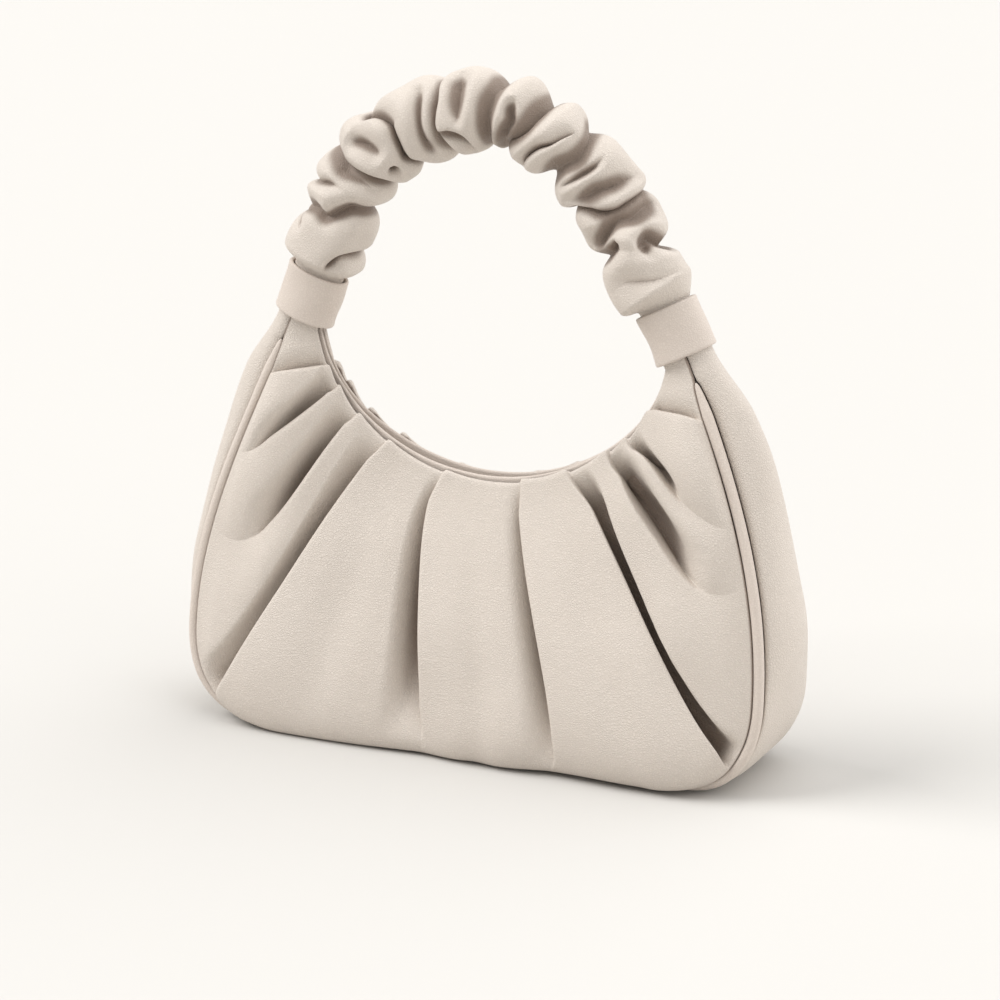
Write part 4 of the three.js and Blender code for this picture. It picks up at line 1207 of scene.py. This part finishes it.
def grain_group():
    """Pebbled grain: rounded cells with fine creases between them, and a softer swell under them."""
    group, (vector, cell, swell_size) = shader_group(
        "Pebbled Grain",
        [
            ("Vector", "NodeSocketVector", (0, 0, 0)),
            ("Cell Size", "NodeSocketFloat", 0.001),
            ("Swell Size", "NodeSocketFloat", 0.006),
        ],
        [("Height", "NodeSocketFloat"), ("Pits", "NodeSocketFloat")],
    )
    per_cell = math_node(group, "DIVIDE", 1, cell)
    per_swell = math_node(group, "DIVIDE", 1, swell_size)
    per_warp = math_node(group, "MULTIPLY", per_cell, WARP_SCALE)
    warp = add_node(group, "ShaderNodeTexNoise", {"Vector": vector, "Scale": per_warp, "Detail": WARP_DETAIL})
    reach = math_node(group, "MULTIPLY", cell, WARP_REACH)
    reaches = add_node(group, "ShaderNodeCombineXYZ", dict.fromkeys("XYZ", reach))
    moved = {0: warp.outputs["Color"], 1: reaches.outputs[0], 2: vector}
    bend = add_node(group, "ShaderNodeVectorMath", moved, operation="MULTIPLY_ADD")
    celled = {"Vector": bend.outputs[0], "Scale": per_cell}
    cells = add_node(group, "ShaderNodeTexVoronoi", celled, feature="DISTANCE_TO_EDGE")
    edged = {"Value": cells.outputs["Distance"], "From Max": CELL_EDGE}
    pebbles = add_node(group, "ShaderNodeMapRange", edged, interpolation_type="SMOOTHSTEP").outputs[0]
    swelling = {"Vector": vector, "Scale": per_swell, "Detail": SWELL_DETAIL}
    swell = add_node(group, "ShaderNodeTexNoise", swelling)
    soft = math_node(group, "MULTIPLY", swell.outputs["Fac"], SWELL_HEIGHT)
    height = math_node(group, "ADD", pebbles, soft)
    between = math_node(group, "SUBTRACT", 1, pebbles)
    add_node(group, "NodeGroupOutput", {"Height": height, "Pits": between})
    return group


def tone_group():
    """Colour of the leather: soft mottling, darker pits, and a warm painted shade where it lies deep in a
    fold or inside the bag.
    """
    group, (vector, color, shade_and_pit_color, recess, pits) = shader_group(
        "Leather Tone",
        [
            ("Vector", "NodeSocketVector", (0, 0, 0)),
            ("Leather", "NodeSocketColor", (0.66, 0.6, 0.53, 1)),
            # Dark brown used for the painted shade, and a little for the pits of the grain
            ("Shade And Pit Colour", "NodeSocketColor", (0.17, 0.110, 0.075, 1)),
            ("Painted Shade", "NodeSocketFloat", 0),
            ("Pits", "NodeSocketFloat", 0),
        ],
        [("Color", "NodeSocketColor"), ("Roughness", "NodeSocketFloat")],
    )

    def mixed(factor, a, b):
        return add_node(group, "ShaderNodeMix", {0: factor, 6: a, 7: b}, data_type="RGBA").outputs[2]

    clouded = {"Vector": vector, "Scale": CLOUD_SCALE, "Detail": CLOUD_DETAIL}
    cloud = add_node(group, "ShaderNodeTexNoise", clouded).outputs["Fac"]
    toned = mixed(math_node(group, "MULTIPLY", cloud, MOTTLE_SHARE), color, MOTTLE_COLOR)
    pitted = mixed(math_node(group, "MULTIPLY", pits, PIT_SHARE), toned, shade_and_pit_color)
    # Painted shade: the attribute mixes the colour towards the dark brown shade colour
    depth = {"Value": recess, "From Min": PAINTED_SHADE_START, "To Max": PAINTED_SHADE_MOST}
    painted_shade_mix = add_node(group, "ShaderNodeMapRange", depth, interpolation_type="SMOOTHSTEP")
    rough = math_node(group, "MULTIPLY", cloud, CLOUD_ROUGHNESS)
    rougher = math_node(group, "MULTIPLY_ADD", pits, PIT_ROUGHNESS, ROUGHNESS)
    add_node(group, "NodeGroupOutput", {
        "Color": mixed(painted_shade_mix.outputs[0], pitted, shade_and_pit_color),
        "Roughness": math_node(group, "ADD", rough, rougher),
    })
    return group


def leather(name, color, cell_size, grain_depth, groups):
    """A leather of one colour and grain, darkened by the painted shade attribute of its meshes."""
    material = bpy.data.materials.new(name)
    material.use_nodes = True
    tree = material.node_tree
    grain_tree, tone_tree = groups
    place = tree.nodes.new("ShaderNodeTexCoord").outputs["Object"]
    # Attribute of painted shade on each mesh
    recess = add_node(tree, "ShaderNodeAttribute", {}, attribute_name="recess").outputs["Fac"]
    pebbled = {"Vector": place, "Cell Size": cell_size}
    grain = add_node(tree, "ShaderNodeGroup", pebbled, node_tree=grain_tree)
    toned = {"Vector": place, "Leather": (*color, 1), "Painted Shade": recess, "Pits": grain.outputs["Pits"]}
    tone = add_node(tree, "ShaderNodeGroup", toned, node_tree=tone_tree)
    bump = add_node(tree, "ShaderNodeBump", {
        "Height": grain.outputs["Height"],
        "Distance": grain_depth,
        "Strength": BUMP_STRENGTH,
    })
    fill(tree, tree.nodes["Principled BSDF"], {
        "Base Color": tone.outputs["Color"],
        "Roughness": tone.outputs["Roughness"],
        "Normal": bump.outputs["Normal"],
        "Specular IOR Level": SPECULAR,
        "Sheen Weight": SHEEN,
        "Sheen Roughness": SHEEN_ROUGHNESS,
    })
    return material


def leather_of(kind, look):
    """The panel, trim or handle leather, made once."""
    name = f"grained_{kind}_leather"
    made = bpy.data.materials.get(name)
    if made:
        return made
    groups = (
        bpy.data.node_groups.get("Pebbled Grain") or grain_group(),
        bpy.data.node_groups.get("Leather Tone") or tone_group(),
    )
    color = {"panel": look.panel_color, "trim": look.trim_color, "handle": look.handle_color}[kind]
    depth = {"panel": 1.0, "trim": 0.5, "handle": 0.9}[kind] * look.grain_depth
    return leather(name, color, look.grain_size, depth, groups)


# Stage

CAMERA_AZIMUTH = math.radians(25)
CAMERA_ELEVATION = math.radians(16)
FRAME_PIXELS = 1000
FOCAL_PIXELS = 3400
PIXELS_PER_METRE = 2450
TARGET = Vector((0, 0, 0.145))
TARGET_PIXEL = (491, 400)
SENSOR_MM = 36
CAMERA_REACH = 50
FLOOR_HALF = 6.0
# Azimuth, elevation and spread of each light, in degrees
KEY_ANGLES = (-66, 45, 42)
FILL_ANGLES = (118, 46, 110)


def build_camera():
    """A camera at the photograph's angle, with the target at its pixel in the photograph's frame."""
    azimuth, elevation = CAMERA_AZIMUTH, CAMERA_ELEVATION
    right = Vector((math.cos(azimuth), math.sin(azimuth), 0))
    level = Vector((-math.sin(azimuth), math.cos(azimuth), 0))
    forward = level * math.cos(elevation) - Vector((0, 0, math.sin(elevation)))
    up = right.cross(forward)
    distance = FOCAL_PIXELS / PIXELS_PER_METRE
    per_pixel = distance / FOCAL_PIXELS
    data = bpy.data.cameras.new("camera")
    data.sensor_width = SENSOR_MM
    data.lens = SENSOR_MM * FOCAL_PIXELS / FRAME_PIXELS
    data.clip_end = CAMERA_REACH
    camera = bpy.data.objects.new("camera", data)
    aside = (TARGET_PIXEL[0] - FRAME_PIXELS / 2) * per_pixel
    above = (FRAME_PIXELS / 2 - TARGET_PIXEL[1]) * per_pixel
    camera.location = TARGET - forward * distance - right * aside - up * above
    camera.rotation_mode = "QUATERNION"
    camera.rotation_quaternion = forward.to_track_quat("-Z", "Y")
    bpy.context.scene.collection.objects.link(camera)
    bpy.context.scene.camera = camera


def build_light(name, strength, azimuth, elevation, spread):
    """A soft white sun. Azimuth 0 is in front of the bag."""
    data = bpy.data.lights.new(name, "SUN")
    data.energy = strength
    data.angle = math.radians(spread)
    light = bpy.data.objects.new(name, data)
    a, e = math.radians(azimuth), math.radians(elevation)
    towards = Vector((math.sin(a) * math.cos(e), -math.cos(a) * math.cos(e), math.sin(e)))
    light.rotation_mode = "QUATERNION"
    light.rotation_quaternion = towards.to_track_quat("Z", "Y")
    light.location = towards
    bpy.context.scene.collection.objects.link(light)


def build_stage(studio):
    """A wide pale floor, an even world, and a key and a fill light."""
    half = FLOOR_HALF
    corners = np.array([(-half, -half, 0), (half, -half, 0), (half, half, 0), (-half, half, 0)])
    floor = mesh_piece("floor", corners, np.array([[0, 1, 2, 3]]))
    paint = bpy.data.materials.new("pale_floor")
    paint.use_nodes = True
    shader = paint.node_tree.nodes["Principled BSDF"]
    shader.inputs["Base Color"].default_value = (*studio.floor_color, 1)
    shader.inputs["Roughness"].default_value = 0.9
    shader.inputs["Specular IOR Level"].default_value = 0
    floor.data.materials.append(paint)
    world = bpy.data.worlds.new("studio")
    world.use_nodes = True
    background = world.node_tree.nodes["Background"]
    background.inputs["Color"].default_value = (*studio.world_color, 1)
    background.inputs["Strength"].default_value = studio.world_strength
    bpy.context.scene.world = world
    build_light("key_light", studio.key_strength, *KEY_ANGLES)
    build_light("fill_light", studio.fill_strength, *FILL_ANGLES)
    bpy.context.scene.view_settings.view_transform = "Standard"
    bpy.context.scene.view_settings.look = "None"


# Settings, operators and panel

def length(label, text, value):
    return FloatProperty(name=label, description=text, default=value, min=0, unit="LENGTH", precision=4)


def tint(label, text, value):
    return FloatVectorProperty(name=label, description=text, default=value, min=0, max=1, subtype="COLOR")


def strength(label, value):
    return FloatProperty(name=f"{label} Strength", description=f"Strength of {label.lower()}", default=value)


class BagSizes(bpy.types.PropertyGroup):
    """Main sizes of the bag."""

    seam_span: length("Seam Span", "Width between the piped seams at the widest part", 0.256)
    mouth_height: length("Mouth Height", "Height of the lowest point of the mouth", 0.1125)
    mouth_depth: length("Mouth Depth", "Width of the open mouth in its middle", 0.013)
    base_depth: length("Base Depth", "Depth of the base between its seams", 0.054)
    belly_swell: length("Belly Swell", "How far the panels swell over the base", 0.026)
    gore_crown: length("Gore Crown", "How far the leather swells between two folds", 0.0045)
    piping_diameter: length("Piping Diameter", "Thickness of the cord in the seams", 0.0044)
    band_rise: length("Band Rise", "How far the mouth bands stand above the panels", 0.0016)
    band_drop: length("Band Drop", "How far the mouth bands reach down inside", 0.009)
    collar_length: length("Collar Length", "Length of the collars", 0.021)
    collar_width: length("Collar Width", "Width of the collars", 0.0272)
    collar_depth: length("Collar Depth", "Depth of the collars", 0.020)
    sleeve_width: length("Handle Width", "Width of the handle across the arch", 0.037)
    sleeve_depth: length("Handle Depth", "Depth of the handle from front to back", 0.034)


class BagLook(bpy.types.PropertyGroup):
    """Colours and grain of the leather."""

    panel_color: tint("Panel Leather", "Colour of the panels and gusset", (0.672, 0.604, 0.537))
    trim_color: tint("Trim Leather", "Colour of the piping, bands and collars", (0.665, 0.585, 0.518))
    handle_color: tint("Handle Leather", "Colour of the handle", (0.672, 0.604, 0.537))
    grain_size: length("Grain Size", "Width of one pebble of the grain", 0.0010)
    grain_depth: length("Grain Depth", "Depth of the grain", 0.00026)


class StudioLook(bpy.types.PropertyGroup):
    """Floor and light of the stage."""

    floor_color: tint("Floor", "Colour of the floor", (0.580, 0.564, 0.538))
    world_color: tint("Surroundings", "Colour of the even light", (1, 1, 1))
    world_strength: strength("Surroundings", 0.54)
    key_strength: strength("Key Light", 2.5)
    fill_strength: strength("Fill Light", 2.65)


class BagOperator:
    """Shared by the operators: their options and how they are run."""

    bl_options = {"REGISTER", "UNDO"}

    def execute(self, context):
        self.build(Body(context.scene.bag_sizes), context.scene.bag_look)
        return {"FINISHED"}


class RUCHEDBAG_OT_panels(BagOperator, bpy.types.Operator):
    """Make the two pleated panels"""

    bl_idname = "ruchedbag.panels"
    bl_label = "Panels"

    def build(self, body, look):
        for side in ("front", "back"):
            build_panel(body, side, leather_of("panel", look))


class RUCHEDBAG_OT_gusset(BagOperator, bpy.types.Operator):
    """Make the strip under the bag and up its sides"""

    bl_idname = "ruchedbag.gusset"
    bl_label = "Gusset"

    def build(self, body, look):
        build_gusset(body, leather_of("panel", look))


class RUCHEDBAG_OT_piping(BagOperator, bpy.types.Operator):
    """Make the cords in the two seams"""

    bl_idname = "ruchedbag.piping"
    bl_label = "Piping"

    def build(self, body, look):
        material = leather_of("trim", look)
        tree = piping_nodes(material)
        for side in ("front", "back"):
            build_piping(body, side, material, tree)


class RUCHEDBAG_OT_mouth_bands(BagOperator, bpy.types.Operator):
    """Make the folded strips inside the mouth"""

    bl_idname = "ruchedbag.mouth_bands"
    bl_label = "Mouth Bands"

    def build(self, body, look):
        for side in ("front", "back"):
            build_mouth_band(body, side, leather_of("trim", look))


class RUCHEDBAG_OT_collars(BagOperator, bpy.types.Operator):
    """Make the two collars at the ends of the handle"""

    bl_idname = "ruchedbag.collars"
    bl_label = "Collars"

    def build(self, body, look):
        for side in (-1, 1):
            build_collar(body, side, leather_of("trim", look))


class RUCHEDBAG_OT_handle(BagOperator, bpy.types.Operator):
    """Make the gathered sleeve of the handle"""

    bl_idname = "ruchedbag.handle"
    bl_label = "Handle"

    def build(self, body, look):
        build_handle(body, leather_of("handle", look))


class RUCHEDBAG_OT_stage(bpy.types.Operator):
    """Make the camera, the floor and the lights"""

    bl_idname = "ruchedbag.stage"
    bl_label = "Stage"
    bl_options = {"REGISTER", "UNDO"}

    def execute(self, context):
        build_camera()
        build_stage(context.scene.bag_studio)
        return {"FINISHED"}


OPERATORS = (
    RUCHEDBAG_OT_stage,
    RUCHEDBAG_OT_panels,
    RUCHEDBAG_OT_gusset,
    RUCHEDBAG_OT_piping,
    RUCHEDBAG_OT_mouth_bands,
    RUCHEDBAG_OT_collars,
    RUCHEDBAG_OT_handle,
)


class RUCHEDBAG_PT_sidebar(bpy.types.Panel):
    """Lists the pieces of the bag and their settings"""

    bl_idname = "RUCHEDBAG_PT_sidebar"
    bl_label = "Ruched Bag"
    bl_space_type = "VIEW_3D"
    bl_region_type = "UI"
    bl_category = "Ruched Bag"

    def draw(self, context):
        for operator in OPERATORS:
            self.layout.operator(operator.bl_idname)
        for settings in (context.scene.bag_sizes, context.scene.bag_look, context.scene.bag_studio):
            box = self.layout.box()
            for name in settings.__annotations__:
                box.prop(settings, name)


CLASSES = (BagSizes, BagLook, StudioLook, *OPERATORS, RUCHEDBAG_PT_sidebar)


def register():
    for cls in CLASSES:
        bpy.utils.register_class(cls)
    bpy.types.Scene.bag_sizes = PointerProperty(type=BagSizes)
    bpy.types.Scene.bag_look = PointerProperty(type=BagLook)
    bpy.types.Scene.bag_studio = PointerProperty(type=StudioLook)


def unregister():
    for name in ("bag_sizes", "bag_look", "bag_studio"):
        delattr(bpy.types.Scene, name)
    for cls in reversed(CLASSES):
        bpy.utils.unregister_class(cls)


def main():
    register()
    for operator in OPERATORS:
        group, name = operator.bl_idname.split(".")
        getattr(getattr(bpy.ops, group), name)()


if __name__ == "__main__":
    main()
